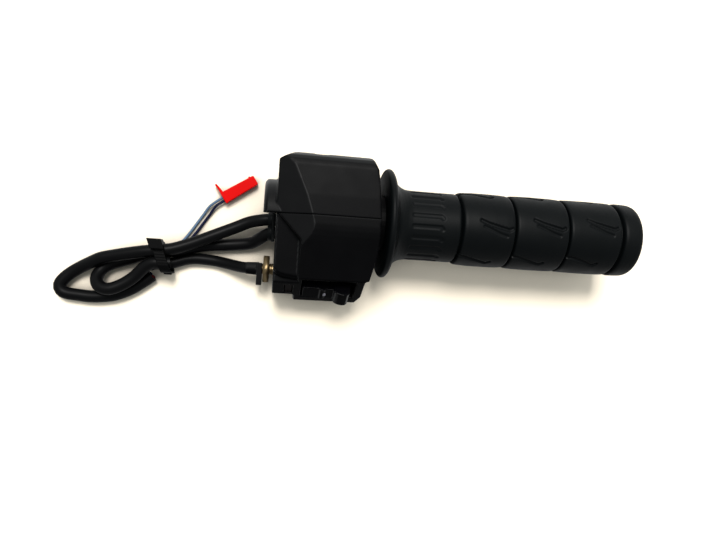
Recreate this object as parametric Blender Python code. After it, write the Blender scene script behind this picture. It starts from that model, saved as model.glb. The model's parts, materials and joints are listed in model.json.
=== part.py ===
"""Right-hand throttle grip: twist grip, two-piece switch housing, switches and leads.

Lengths are in millimetres along the bar axis: X outboard from the grip's flange, Y to the
front of the vehicle, Z up. The root empty then stands the housing on the surface, in metres.
"""
import math

import bmesh
import bpy
from mathutils import Matrix, Vector

MM = 0.001
GAP = 0.3

# Where the bar axis meets the flange's inboard face, from the row's origin.
BAR_X = -36.2
BAR_Y = 6.106
BAR_Z = 26.5

# Handlebar and grip.
BORE_R = 11.4
TUBE_R = 13.2
TUBE_END = 123.5
GRIP_BORE_R = TUBE_R + GAP
GRIP_LENGTH = 128.2
WAIST_R = 16.75
BARREL_R = 18.2
FLANGE_R = 26.3
RING_X = (36.2, 62.5, 89.6)
RING_BEFORE = (WAIST_R, 17.9, 18.1)
RING_AFTER = (17.4, 17.9, 18.1)
RING_DEPTH = 0.7
RING_HALF = 0.7
RING_RISE = 10.0
BAND_X = 117.2
BAND_HALF = 1.2
BAND_DEPTH = 1.4
GRIP_SIDES = 44
TUBE_SIDES = 40
TUBE_PLAY = 0.1

# Cable drum on the throttle tube.
DRUM_IN = -21.0
DRUM_OUT = -7.0
DRUM_R = 17.0
DRUM_GROOVE_R = 14.2
DRUM_FLANGE = 2.0
DRUM_ROOM_R = 19.0
WIRE_R = 0.8
WIRE_ORBIT = DRUM_GROOVE_R + GAP + WIRE_R
WIRE_WRAP = math.radians(12.0)
NIPPLE_R = 1.75
NIPPLE_LENGTH = 7.0
NIPPLE_ANGLE = math.radians(24.0)

# Housing.
INBOARD = -50.0
OUTBOARD = -3.0
NECK_END = -55.8
NECK_R = 17.0
NECK_CHAMFER = 1.4
NECK_LOW = -9.0
PARTING = 0.15
BASE_Z = -BAR_Z
EDGE = 0.7
BLANK = 5.0
FRONT_PROFILE = ((0, 22), (22.0, 21.7), (26.6, 18.8), (28.7, 13.0), (28.7, -12), (26, -20),
                 (19.5, BASE_Z), (0, BASE_Z))
FRONT_PLAN = ((INBOARD, 0), (INBOARD, 24.0), (-41.3, 28.7), (-8.5, 28.7), (-5.4, 22.0),
              (-4.5, 16.5), (OUTBOARD, 0))
PANEL_TOP = (-29.0, 12.0)
PANEL_FOOT = (-39.5, -7.0)
REAR_PROFILE = ((0, BASE_Z), (-27, BASE_Z), (-33, -24), (-39.5, -17), PANEL_FOOT, PANEL_TOP,
                (-10.5, 19.3), (0, 22))
REAR_PLAN = ((OUTBOARD, 0), (OUTBOARD, -14), (-4.1, -22), (-6.9, -36), (-9.5, -39.5),
             (INBOARD, -39.5), (INBOARD, 0))
FLANK_X = -7.1
FLANK_Y = -28.7
FACET_POINT = (-39.0, 13.4, 22.0)
FACET_NORMAL = (-0.346, -0.128, 0.929)
STEP_Z = 14.5
STEP_PLAN = ((-56, 7.6), (-38.4, -11.5), (-38.4, -45), (-56, -45))
TOE_X = -39.6
TOE_Y = -36.7
WALL = 2.4
POCKET_LOW = (-42.0, 14.0, -10.0)
POCKET_HIGH = (-10.0, 26.3, 10.0)
GUIDE_ROOM_LOW = (-47.0, -29.0, -19.0)
GUIDE_ROOM_HIGH = (-9.0, -8.0, -12.5)
LEAD_HOLE_END = -38.0

# Screws that join the halves.
SCREW_X = -31.0
SCREW_Z = 14.6
SCREW_R = 1.9
SCREW_HEAD_R = 2.9
SCREW_HEAD = 2.8
SCREW_SEAT_Y = 17.0
SCREW_TIP_Y = -9.5

# Cable guide, adjuster and its nut, on one line through the inboard wall.
GUIDE_Y = -25.5
GUIDE_TURN = 10.0
GUIDE_R = 2.2
GUIDE_BORE_R = 1.2
GUIDE_MOUTH_Y = -13.0
GUIDE_END = -45.4
WIRE_X = 0.5 * (DRUM_IN + DRUM_OUT)
ADJUSTER_R = 2.9
ADJUSTER_IN = -45.8
ADJUSTER_OUT = -55.7
NUT_FLATS = 13.0
NUT_X = (-54.7, -52.4)
GUIDE_STEPS = 6
PIPE_SIDES = 18
SMALL_SIDES = 14
WIRE_SIDES = 8
PASSAGE_SIDES = 48
HOLE_SIDES = 16
PIN_SIDES = 12
SPRING_SIDES = 6

# Switch panel. U runs along X, V up the panel, W out of it.
PANEL_DIRECTION = Vector((0, PANEL_TOP[0] - PANEL_FOOT[0], PANEL_TOP[1] - PANEL_FOOT[1])).normalized()
ROOM_U = (-46.5, -10.7)
ROOM_V = (2.3, 21.5)
ROOM_W = (-11.0, -WALL)
ROCKER_U = -23.8
ROCKER_V = (4.5, 15.2)
ROCKER_PIVOT_W = -4.6
ROCKER_TILT = math.radians(10.0)
ROCKER_OUTLINE = ((-11.2, 1.6), (-10.4, 2.1), (-2.0, 1.5), (3.2, 0.3), (4.6, 1.9), (10.4, 2.4),
                  (11.2, 1.2), (11.0, -4.6), (3.0, -6.6), (-3.0, -6.6), (-11.0, -4.6))
SLOT_HALF = 12.7
SLOT_V = (4.2, 20.4)
PIN_R = 0.8
PIN_V = (3.0, 16.7)
WIPER_HALF = 7.0
WIPER_W = (-7.2, -6.9)
WIPER_V = (8.3, 11.4)
FRAME_U = (ROCKER_U - 9.0, ROCKER_U + 9.0)
FRAME_OUTLINE = ((2.8, -10.7), (16.9, -10.7), (16.9, -2.9), (15.6, -2.9), (15.6, -9.7),
                 (4.1, -9.7), (4.1, -2.9), (2.8, -2.9))
PAD_U = (ROCKER_U - 7.0, ROCKER_U + 7.0)
PAD_HALF = 1.8
PAD_W = (-9.4, -8.7)
BUTTON_U = (-44.2, -40.6)
BUTTON_V = (7.0, 14.6)
BUTTON_W = (-5.0, -0.6)
BUTTON_LIP = 0.9
BUTTON_LIP_W = (-3.9, -2.7)
SPRING_R = 1.3
SPRING_WIRE_R = 0.2
SPRING_W = (-9.1, -5.5)
SPRING_TURNS = 4
SPRING_STEPS = 10
CONTACT_W = (-10.5, -9.7)

# Leads.
LEAD_R = 3.0
CABLE_R = 2.75
THIN_R = 0.65
LEAD_Z = -15.6
LEAD_Y = (-0.9, -7.4)
GROMMET_X = (-51.8, -50.3)
GROMMET_EDGE = 4.3
GROMMET_HALF = 4.1
LEAD_UPPER_ROUTE = (
    (-46.5, -0.9, -15.6), (-52.9, -0.9, -15.6), (-57.0, -1.4, -16.0), (-63.0, -2.8, -17.6),
    (-70.0, -6.0, -18.0), (-79.5, -10.4, -17.2), (-88.7, -14.6, -16.5), (-97.0, -17.9, -15.4),
    (-102.5, -19.2, -15.0), (-109.5, -19.3, -15.0), (-117.0, -20.6, -15.8), (-126.4, -23.0, -17.2),
    (-132.5, -25.0, -18.2), (-138.0, -27.4, -20.6), (-143.0, -29.6, -22.6), (-148.0, -32.0, -23.2),
    (-151.6, -34.6, -23.2), (-153.0, -38.0, -23.2), (-151.6, -41.2, -23.2), (-148.0, -42.6, -23.2),
    (-143.0, -42.6, -23.2), (-138.0, -42.9, -23.2), (-132.9, -43.0, -23.2), (-126.0, -42.2, -23.2),
    (-119.1, -39.6, -23.2), (-113.8, -36.0, -23.2), (-109.0, -32.2, -23.2))
LEAD_LOWER_ROUTE = (
    (-46.5, -7.4, -15.6), (-52.9, -7.4, -15.6), (-55.6, -9.3, -17.2), (-58.2, -11.4, -20.0),
    (-61.8, -12.9, -22.4), (-67.3, -13.9, -23.2), (-74.7, -14.7, -23.2), (-82.1, -15.3, -23.2),
    (-89.3, -16.6, -23.2), (-96.4, -18.6, -22.0), (-102.5, -19.5, -21.4), (-109.5, -19.6, -21.4),
    (-117.2, -23.4, -22.7), (-124.5, -26.0, -23.2), (-129.8, -28.0, -23.2), (-133.4, -31.2, -22.6),
    (-134.4, -35.2, -20.4), (-132.2, -38.6, -18.0), (-127.6, -39.6, -17.0), (-121.8, -37.2, -17.2),
    (-116.4, -33.2, -17.2), (-111.6, -28.2, -16.0), (-107.5, -25.8, -15.0), (-103.0, -25.7, -15.0),
    (-99.4, -25.2, -15.4))
THROTTLE_CABLE_ROUTE = (
    (-58.7, -25.5, -15.3), (-61.8, -25.5, -15.3), (-64.0, -25.4, -16.1), (-67.5, -25.0, -18.6),
    (-73.0, -24.3, -21.6),
    (-79.1, -23.6, -23.3), (-86.6, -23.1, -23.4), (-92.5, -23.9, -23.4), (-97.5, -25.2, -22.6),
    (-102.5, -26.0, -21.6), (-107.5, -26.4, -21.7), (-110.6, -27.2, -22.3))
WIRE_PALE_ROUTE = (
    (-101.8, -17.0, -25.6), (-98.8, -15.9, -25.6), (-95.9, -14.1, -25.6), (-92.5, -9.6, -25.6),
    (-89.3, -4.6, -25.6), (-86.2, 0.2, -25.4), (-83.8, 3.9, -24.7), (-81.4, 7.0, -24.1),
    (-79.3, 8.6, -24.0), (-76.4, 10.6, -24.0))
WIRE_DARK_ROUTE = (
    (-101.2, -19.0, -25.6), (-98.2, -17.5, -25.6), (-95.0, -15.6, -25.6), (-92.2, -12.9, -25.6),
    (-89.4, -9.2, -25.6), (-86.4, -4.6, -25.6), (-83.6, -0.3, -25.4), (-81.6, 2.8, -24.7),
    (-80.0, 5.0, -24.1), (-77.9, 6.6, -24.0), (-75.0, 8.6, -24.0))
CORD_POINTS = 12

# Boot, tie and connector.
BOOT_LOW = (-58.3, -33.4, -19.3)
BOOT_HIGH = (-56.0, -23.2, -11.3)
TIE_X = (-108.2, -103.6)
TIE_BAND = 1.2
TIE_LEAN = 0.38
TIE_PLAY = 0.9
CORNER_STEPS = 4
TIE_CENTRES_Y = (-26.0, -19.3)
TIE_CENTRES_Z = (-21.4, -15.0)
TIE_HEAD_LOW = (-109.2, -15.4, -19.2)
TIE_HEAD_HIGH = (-103.4, -11.6, -13.4)
PLUG_REAR = (-76.9, 8.75, -26.1)
PLUG_ANGLE = math.atan2(10.1, 14.85)
PLUG_SIZE = (18.0, 5.6, 4.2)
PLUG_CAVITY = 1.9
PLUG_PITCH = 2.5
PIN_SIZE = (7.0, 1.2, 1.2)
LATCH_LENGTH = 5.4
LATCH_ANGLE = math.radians(101.0)
LATCH_THICK = 1.0

# Colour, roughness and metallic value.
FINISHES = {
    "housing_plastic": ((0.020, 0.020, 0.022), 0.45, 0.0),
    "grip_rubber": ((0.018, 0.018, 0.019), 0.60, 0.0),
    "tube_plastic": ((0.025, 0.025, 0.026), 0.50, 0.0),
    "gloss_plastic": ((0.006, 0.006, 0.008), 0.12, 0.0),
    "button_plastic": ((0.030, 0.010, 0.010), 0.30, 0.0),
    "sleeve_vinyl": ((0.012, 0.012, 0.014), 0.40, 0.0),
    "zinc": ((0.45, 0.38, 0.24), 0.35, 1.0),
    "steel": ((0.55, 0.55, 0.56), 0.35, 1.0),
    "brass": ((0.62, 0.45, 0.18), 0.35, 1.0),
    "plug_red": ((0.80, 0.03, 0.02), 0.30, 0.0),
    "wire_pale": ((0.35, 0.45, 0.58), 0.45, 0.0),
    "wire_dark": ((0.02, 0.02, 0.08), 0.45, 0.0),
}


def clear_scene():
    for item in list(bpy.data.objects):
        bpy.data.objects.remove(item)


def finish(name):
    found = bpy.data.materials.get(name)
    if found:
        return found
    colour, roughness, metallic = FINISHES[name]
    made = bpy.data.materials.new(name)
    made.use_nodes = True
    shader = made.node_tree.nodes["Principled BSDF"]
    shader.inputs["Base Color"].default_value = (*colour, 1.0)
    shader.inputs["Roughness"].default_value = roughness
    shader.inputs["Metallic"].default_value = metallic
    return made


def axis_empty(name, parent, place):
    """An empty on a joint's axis, at a place given from the bar axis."""
    empty = bpy.data.objects.new(name, None)
    bpy.context.collection.objects.link(empty)
    empty.parent = parent
    empty.location = Vector(place) * MM
    return empty


def add(name, bm, finish_name, parent, smooth=False):
    """Turn a bmesh drawn in millimetres about its parent into an object."""
    bmesh.ops.scale(bm, vec=(MM, MM, MM), verts=bm.verts)
    bmesh.ops.recalc_face_normals(bm, faces=bm.faces)
    mesh = bpy.data.meshes.new(name)
    bm.to_mesh(mesh)
    bm.free()
    item = bpy.data.objects.new(name, mesh)
    bpy.context.collection.objects.link(item)
    item.parent = parent
    if finish_name:
        mesh.materials.append(finish(finish_name))
    if smooth:
        mesh.shade_smooth()
        mesh.set_sharp_from_angle(angle=math.radians(35))
    return item


def add_tool(name, bm, parent):
    """A hidden cutter."""
    tool = add(name, bm, None, parent)
    tool.hide_render = True
    tool.display_type = 'WIRE'
    return tool


def combine(item, tool, operation='DIFFERENCE'):
    step = item.modifiers.new(tool.name, 'BOOLEAN')
    step.operation = operation
    step.object = tool
    step.solver = 'EXACT'


def round_edges(item, width):
    step = item.modifiers.new("edges", 'BEVEL')
    step.width = width * MM
    step.segments = 1
    step.limit_method = 'ANGLE'
    step.angle_limit = math.radians(25)


def box(low, high):
    bm = bmesh.new()
    size = Vector(high) - Vector(low)
    middle = (Vector(high) + Vector(low)) / 2
    bmesh.ops.create_cube(bm, size=1.0)
    bmesh.ops.scale(bm, vec=size, verts=bm.verts)
    bmesh.ops.translate(bm, vec=middle, verts=bm.verts)
    return bm


def carve(bm, point, normal):
    """Cut away what lies beyond a plane and close the cut."""
    geometry = bm.verts[:] + bm.edges[:] + bm.faces[:]
    result = bmesh.ops.bisect_plane(bm, geom=geometry, plane_co=point, plane_no=normal,
                                    dist=1e-5, clear_outer=True)
    rim = [part for part in result["geom_cut"] if isinstance(part, bmesh.types.BMEdge)]
    if len(rim) > 2:
        bmesh.ops.contextual_create(bm, geom=rim)


def carve_outline(bm, outline, lift):
    """Carve along each side of an outline drawn clockwise, lifted to 3-D by a function."""
    for first, second in zip(outline, outline[1:]):
        along = (second[0] - first[0], second[1] - first[1])
        outward = (-along[1], along[0])
        carve(bm, lift(*first), lift(*outward))


def prism(outline, low, high, lift):
    """Extrude an outline between two heights; lift turns (a, b, height) into a point."""
    bm = bmesh.new()
    bottom = [bm.verts.new(lift(a, b, low)) for a, b in outline]
    top = [bm.verts.new(lift(a, b, high)) for a, b in outline]
    bm.faces.new(bottom)
    bm.faces.new(top)
    join_rings(bm, bottom, top)
    return bm


def join_rings(bm, first, second):
    count = len(first)
    for index in range(count):
        after = (index + 1) % count
        bm.faces.new((first[index], first[after], second[after], second[index]))


def turned(profile, segments, closed=True):
    """Turn (x, radius) points about X; an open profile starts and ends on the axis."""
    bm = bmesh.new()
    angles = [2 * math.pi * index / segments for index in range(segments)]
    rings = []
    for x, radius in profile:
        if radius == 0:
            rings.append([bm.verts.new((x, 0, 0))])
        else:
            rings.append([bm.verts.new((x, radius * math.cos(a), radius * math.sin(a)))
                          for a in angles])
    pairs = list(zip(rings, rings[1:]))
    if closed:
        pairs.append((rings[-1], rings[0]))
    for first, second in pairs:
        if len(first) == 1 or len(second) == 1:
            fan, pole = (second, first[0]) if len(first) == 1 else (first, second[0])
            for index in range(segments):
                bm.faces.new((fan[index], fan[(index + 1) % segments], pole))
        else:
            join_rings(bm, first, second)
    return bm


def along_y(bm, x, z):
    """Lay a piece turned about X along Y instead, through x and z."""
    bm.transform(Matrix.Translation((x, 0, z)) @ Matrix.Rotation(math.radians(90), 4, 'Z'))
    return bm


def smooth_route(route, spacing):
    """Points about one spacing apart on a Catmull-Rom curve through the route."""
    knots = [Vector(point) for point in route]
    knots = [2 * knots[0] - knots[1]] + knots + [2 * knots[-1] - knots[-2]]
    fine = []
    for a, b, c, d in zip(knots, knots[1:], knots[2:], knots[3:]):
        for step in range(CORD_POINTS):
            t = step / CORD_POINTS
            fine.append(0.5 * (2 * b + (c - a) * t + (2 * a - 5 * b + 4 * c - d) * t * t
                               + (3 * b - a - 3 * c + d) * t ** 3))
    fine.append(knots[-2])
    length = sum((b - a).length for a, b in zip(fine, fine[1:]))
    count = max(2, round(length / spacing))
    points = [fine[0]]
    travelled = 0.0
    for before, after in zip(fine, fine[1:]):
        travelled += (after - before).length
        if travelled >= length * len(points) / count - 1e-6 and len(points) < count:
            points.append(after)
    points.append(fine[-1])
    return points


def add_cord(name, route, radius, spacing, finish_name, parent, resolution=2):
    curve = bpy.data.curves.new(name, 'CURVE')
    curve.dimensions = '3D'
    curve.bevel_depth = radius * MM
    curve.bevel_resolution = resolution
    curve.use_fill_caps = True
    curve.resolution_u = 1
    curve.render_resolution_u = 0
    points = smooth_route(route, spacing)
    spline = curve.splines.new('POLY')
    spline.points.add(len(points) - 1)
    for slot, point in zip(spline.points, points):
        slot.co = (*(point * MM), 1.0)
    curve.materials.append(finish(finish_name))
    item = bpy.data.objects.new(name, curve)
    bpy.context.collection.objects.link(item)
    item.parent = parent
    return item


def lift_profile(y, z, x=0):
    return (x, y, z)


def lift_plan(x, y, z=0):
    return (x, y, z)


def panel_matrix():
    """From panel axes U, V, W to the bar's axes."""
    across = Vector((1, 0, 0))
    outward = across.cross(PANEL_DIRECTION)
    matrix = Matrix((across, PANEL_DIRECTION, outward)).transposed().to_4x4()
    return Matrix.Translation((0, PANEL_FOOT[0], PANEL_FOOT[1])) @ matrix


def on_panel(bm):
    bm.transform(panel_matrix())
    return bm


def panel_point(u, v, w):
    return panel_matrix() @ Vector((u, v, w))


def grip_profile():
    """From the bottom of the bore to the flange, then along the outside to the closed end."""
    points = [(TUBE_END + GAP, 0), (TUBE_END + GAP, GRIP_BORE_R), (GAP, GRIP_BORE_R)]
    points += [(GAP, 24.8), (0.8, 25.9), (2.0, FLANGE_R), (3.2, 25.9), (4.1, 24.4), (4.7, 22.0),
               (5.4, 20.4), (6.8, 19.1), (9.0, 17.6), (12.0, WAIST_R)]
    for x, before, after in zip(RING_X, RING_BEFORE, RING_AFTER):
        points += [(x - RING_HALF, before), (x, before - RING_DEPTH), (x + RING_HALF, after),
                   (x + RING_RISE, BARREL_R)]
    points += [(BAND_X - BAND_HALF, BARREL_R), (BAND_X, BARREL_R - BAND_DEPTH),
               (BAND_X + BAND_HALF, BARREL_R), (126.0, 18.0), (127.6, 17.2), (GRIP_LENGTH, 15.6),
               (GRIP_LENGTH, 0)]
    return points


def add_throttle(twist):
    grip = turned(grip_profile(), GRIP_SIDES, closed=False)
    add("grip_sleeve", grip, "grip_rubber", twist, smooth=True)
    bore = BORE_R + TUBE_PLAY
    inner, outer = DRUM_IN + DRUM_FLANGE, DRUM_OUT - DRUM_FLANGE
    tube = [(DRUM_IN, bore), (DRUM_IN, DRUM_R), (inner, DRUM_R), (inner, DRUM_GROOVE_R),
            (outer, DRUM_GROOVE_R), (outer, DRUM_R), (DRUM_OUT, DRUM_R), (DRUM_OUT, TUBE_R),
            (TUBE_END, TUBE_R), (TUBE_END, bore)]
    add("throttle_tube", turned(tube, TUBE_SIDES), "tube_plastic", twist, smooth=True)
    half = NIPPLE_LENGTH / 2
    nipple = turned([(-half, 0), (-half, NIPPLE_R), (half, NIPPLE_R), (half, 0)], SMALL_SIDES,
                    closed=False)
    orbit = DRUM_GROOVE_R + GAP + NIPPLE_R
    place = (WIRE_X, orbit * math.sin(NIPPLE_ANGLE), -orbit * math.cos(NIPPLE_ANGLE))
    bmesh.ops.translate(nipple, vec=place, verts=nipple.verts)
    add("cable_nipple", nipple, "zinc", twist, smooth=True)


def wire_path():
    """Round the drum, straight to the guide, a quarter turn, and out to the adjuster."""
    points = []
    for step in range(4):
        angle = WIRE_WRAP * (1 - step / 3)
        points.append((WIRE_X, WIRE_ORBIT * math.sin(angle), -WIRE_ORBIT * math.cos(angle)))
    points += guide_path()
    points.append((ADJUSTER_OUT + 1.0, GUIDE_Y, -WIRE_ORBIT))
    return points


def guide_path():
    """The guide pipe's centre line, from its mouth to its inboard end."""
    centre_x = WIRE_X - GUIDE_TURN
    centre_y = GUIDE_Y + GUIDE_TURN
    points = [(WIRE_X, GUIDE_MOUTH_Y, -WIRE_ORBIT)]
    for step in range(GUIDE_STEPS + 1):
        angle = math.radians(90) * step / GUIDE_STEPS
        points.append((centre_x + GUIDE_TURN * math.cos(angle),
                       centre_y - GUIDE_TURN * math.sin(angle), -WIRE_ORBIT))
    points.append((GUIDE_END, GUIDE_Y, -WIRE_ORBIT))
    return points


def swept_pipe(path, radius, bore, sides):
    """Sweep a ring along a path that stays in one level plane."""
    bm = bmesh.new()
    knots = [Vector(point) for point in path]
    outer, inner = [], []
    for index, knot in enumerate(knots):
        heading = (knots[min(index + 1, len(knots) - 1)] - knots[max(index - 1, 0)]).normalized()
        side = heading.cross(Vector((0, 0, 1)))
        for rings, size in ((outer, radius), (inner, bore)):
            ring = []
            for step in range(sides):
                angle = 2 * math.pi * step / sides
                offset = side * math.cos(angle) + Vector((0, 0, 1)) * math.sin(angle)
                ring.append(bm.verts.new(knot + offset * size))
            rings.append(ring)
    for rings in (outer, inner):
        for first, second in zip(rings, rings[1:]):
            join_rings(bm, first, second)
    join_rings(bm, outer[0], inner[0])
    join_rings(bm, outer[-1], inner[-1])
    return bm


def level_wire(path, radius, sides):
    """Sweep a solid round wire along a path given point by point."""
    bm = bmesh.new()
    knots = [Vector(point) for point in path]
    rings = []
    for index, knot in enumerate(knots):
        heading = (knots[min(index + 1, len(knots) - 1)] - knots[max(index - 1, 0)]).normalized()
        side = heading.cross(Vector((0, 0, 1))).normalized()
        up = side.cross(heading)
        rings.append([bm.verts.new(knot + radius * (side * math.cos(2 * math.pi * step / sides)
                                                    + up * math.sin(2 * math.pi * step / sides)))
                      for step in range(sides)])
    for first, second in zip(rings, rings[1:]):
        join_rings(bm, first, second)
    bm.faces.new(rings[0])
    bm.faces.new(rings[-1])
    return bm


def add_cable_guide(root):
    add("inner_cable", level_wire(wire_path(), WIRE_R, WIRE_SIDES), "steel", root, smooth=True)
    pipe = swept_pipe(guide_path(), GUIDE_R, GUIDE_BORE_R, PIPE_SIDES)
    add("cable_elbow", pipe, "steel", root, smooth=True)
    barrel = turned([(ADJUSTER_IN, GUIDE_BORE_R), (ADJUSTER_IN, ADJUSTER_R),
                     (ADJUSTER_OUT, ADJUSTER_R), (ADJUSTER_OUT, GUIDE_BORE_R)], PIPE_SIDES)
    bmesh.ops.translate(barrel, vec=(0, GUIDE_Y, -WIRE_ORBIT), verts=barrel.verts)
    add("cable_adjuster", barrel, "zinc", root, smooth=True)
    corner = NUT_FLATS / math.sqrt(3)
    bore = ADJUSTER_R + GAP
    nut = hex_nut(corner, bore)
    bmesh.ops.translate(nut, vec=(0, GUIDE_Y, -WIRE_ORBIT), verts=nut.verts)
    add("adjuster_nut", nut, "zinc", root)


def hex_nut(corner, bore):
    """A hexagon with a round hole, its faces across X."""
    bm = bmesh.new()
    rings = []
    for x in NUT_X:
        outline, hole = [], []
        for step in range(PIPE_SIDES):
            angle = 2 * math.pi * step / PIPE_SIDES
            sector = (angle + math.radians(30)) % math.radians(60) - math.radians(30)
            reach = corner * math.cos(math.radians(30)) / math.cos(sector)
            outline.append(bm.verts.new((x, reach * math.sin(angle), reach * math.cos(angle))))
            hole.append(bm.verts.new((x, bore * math.sin(angle), bore * math.cos(angle))))
        rings.append((outline, hole))
    (outline_a, hole_a), (outline_b, hole_b) = rings
    join_rings(bm, outline_a, outline_b)
    join_rings(bm, hole_a, hole_b)
    join_rings(bm, outline_a, hole_a)
    join_rings(bm, outline_b, hole_b)
    return bm


def passage_profile():
    """The bar's bore, the drum's room, and the neck where the throttle tube leaves."""
    return [(NECK_END - 5, 0), (NECK_END - 5, BORE_R), (DRUM_IN - 3, BORE_R),
            (DRUM_IN - 3, DRUM_ROOM_R), (DRUM_OUT + 2, DRUM_ROOM_R), (DRUM_OUT + 2, TUBE_R + 0.8),
            (5.0, TUBE_R + 0.8), (5.0, 0)]


def add_housing_tools(root):
    passage = turned(passage_profile(), PASSAGE_SIDES, closed=False)
    tools = {"passage": add_tool("passage_tool", passage, root)}
    for name, z in (("upper", SCREW_Z), ("lower", -SCREW_Z)):
        clear = SCREW_R + GAP
        seat = SCREW_HEAD_R + GAP
        profile = [(SCREW_TIP_Y - GAP, 0), (SCREW_TIP_Y - GAP, clear), (SCREW_SEAT_Y, clear),
                   (SCREW_SEAT_Y, seat), (FRONT_PROFILE[3][0] + 5, seat),
                   (FRONT_PROFILE[3][0] + 5, 0)]
        tools[name] = add_tool("screw_" + name + "_tool",
                               along_y(turned(profile, HOLE_SIDES, closed=False), SCREW_X, z), root)
    for name, y in zip(("lead_a", "lead_b"), LEAD_Y):
        hole = turned([(INBOARD - 2, 0), (INBOARD - 2, LEAD_R + GAP), (LEAD_HOLE_END, LEAD_R + GAP),
                       (LEAD_HOLE_END, 0)], HOLE_SIDES, closed=False)
        tools[name] = add_tool(name + "_tool", shifted(hole, (0, y, LEAD_Z)), root)
    return tools


def add_front_half(root, tools):
    bm = box((INBOARD - BLANK, PARTING, BASE_Z - BLANK),
             (OUTBOARD + BLANK, FRONT_PROFILE[3][0] + BLANK, FRONT_PROFILE[0][1] + BLANK))
    carve_outline(bm, FRONT_PROFILE, lift_profile)
    carve_outline(bm, FRONT_PLAN, lift_plan)
    carve(bm, FACET_POINT, FACET_NORMAL)
    half = add("front_half", bm, "housing_plastic", root)
    round_edges(half, EDGE)
    neck = turned([(NECK_END, BORE_R - 1), (NECK_END, NECK_R - NECK_CHAMFER),
                   (NECK_END + NECK_CHAMFER, NECK_R), (INBOARD + 4, NECK_R),
                   (INBOARD + 4, BORE_R - 1)], PASSAGE_SIDES)
    neck_tool = add_tool("neck_tool", neck, root)
    keep = box((NECK_END - 1, PARTING, NECK_LOW), (INBOARD + 5, NECK_R + 1, NECK_R + 1))
    keep_tool = add_tool("neck_keep_tool", keep, root)
    combine(neck_tool, keep_tool, 'INTERSECT')
    combine(half, neck_tool, 'UNION')
    for name in ("passage", "upper", "lower", "lead_a"):
        combine(half, tools[name])
    combine(half, add_tool("front_pocket_tool", box(POCKET_LOW, POCKET_HIGH), root))


def add_rear_half(root, tools):
    bm = box((INBOARD - BLANK, PANEL_FOOT[0] - BLANK, BASE_Z - BLANK),
             (OUTBOARD + BLANK, -PARTING, REAR_PROFILE[-1][1] + BLANK))
    carve_outline(bm, REAR_PROFILE, lift_profile)
    carve_outline(bm, REAR_PLAN, lift_plan)
    carve(bm, FACET_POINT, FACET_NORMAL)
    half = add("rear_half", bm, "housing_plastic", root)
    round_edges(half, EDGE)
    cuts = {
        "step": prism(STEP_PLAN, STEP_Z, STEP_Z + 20, lift_plan),
        "toe": box((INBOARD - 2, PANEL_FOOT[0] - 3, BASE_Z - 2), (TOE_X, TOE_Y, 3)),
        "room": on_panel(box((ROOM_U[0], ROOM_V[0], ROOM_W[0]), (ROOM_U[1], ROOM_V[1], ROOM_W[1]))),
        "flank": box((FLANK_X, PANEL_FOOT[0] - 3, BASE_Z - 2), (OUTBOARD + 2, FLANK_Y, STEP_Z)),
        "rocker_slot": on_panel(box((ROCKER_U - SLOT_HALF, SLOT_V[0], -WALL - 2),
                                    (ROCKER_U + SLOT_HALF, SLOT_V[1], 5))),
        "button_slot": on_panel(box((BUTTON_U[0] - GAP, BUTTON_V[0] - GAP, -WALL - 2),
                                    (BUTTON_U[1] + GAP, BUTTON_V[1] + GAP, 5))),
        "guide": box(GUIDE_ROOM_LOW, GUIDE_ROOM_HIGH),
        "adjuster": shifted(turned([(INBOARD - 2, 0), (INBOARD - 2, ADJUSTER_R + GAP),
                                    (INBOARD + 5, ADJUSTER_R + GAP), (INBOARD + 5, 0)],
                                   HOLE_SIDES, closed=False), (0, GUIDE_Y, -WIRE_ORBIT)),
    }
    for name in ("passage", "upper", "lower", "lead_a", "lead_b"):
        combine(half, tools[name])
    for name, bm in cuts.items():
        combine(half, add_tool(name + "_tool", bm, root))


def shifted(bm, vec):
    bmesh.ops.translate(bm, vec=vec, verts=bm.verts)
    return bm


def add_clamp_screws(root):
    for name, z in (("clamp_screw_upper", SCREW_Z), ("clamp_screw_lower", -SCREW_Z)):
        profile = [(SCREW_TIP_Y, 0), (SCREW_TIP_Y, SCREW_R), (SCREW_SEAT_Y + GAP, SCREW_R),
                   (SCREW_SEAT_Y + GAP, SCREW_HEAD_R), (SCREW_SEAT_Y + SCREW_HEAD, SCREW_HEAD_R),
                   (SCREW_SEAT_Y + SCREW_HEAD, 0)]
        screw = along_y(turned(profile, SMALL_SIDES, closed=False), SCREW_X, z)
        add(name, screw, "steel", root, smooth=True)


def add_rocker(root):
    pivot = panel_point(ROCKER_U, 0, ROCKER_PIVOT_W)
    axis = axis_empty("rocker_axis", root, pivot)
    turn = Matrix.Rotation(-ROCKER_TILT, 4, 'Y')
    into_panel = panel_matrix().to_3x3().to_4x4()

    def outline_point(u, w, v):
        return (u, v, w - ROCKER_PIVOT_W)

    body = prism(ROCKER_OUTLINE, ROCKER_V[0], ROCKER_V[1], outline_point)
    body.transform(into_panel @ turn)
    rocker = add("rocker", body, "gloss_plastic", axis)
    combine(rocker, add_tool("rocker_hole_tool", pin_along_v(PIN_R + GAP, 0, 25, pivot), root))
    wiper = box((-WIPER_HALF, WIPER_V[0], WIPER_W[0] - ROCKER_PIVOT_W),
                (WIPER_HALF, WIPER_V[1], WIPER_W[1] - ROCKER_PIVOT_W))
    wiper.transform(into_panel @ turn)
    add("rocker_wiper", wiper, "brass", axis)
    add("rocker_pin", pin_along_v(PIN_R, PIN_V[0], PIN_V[1], pivot), "steel", root, smooth=True)


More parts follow.
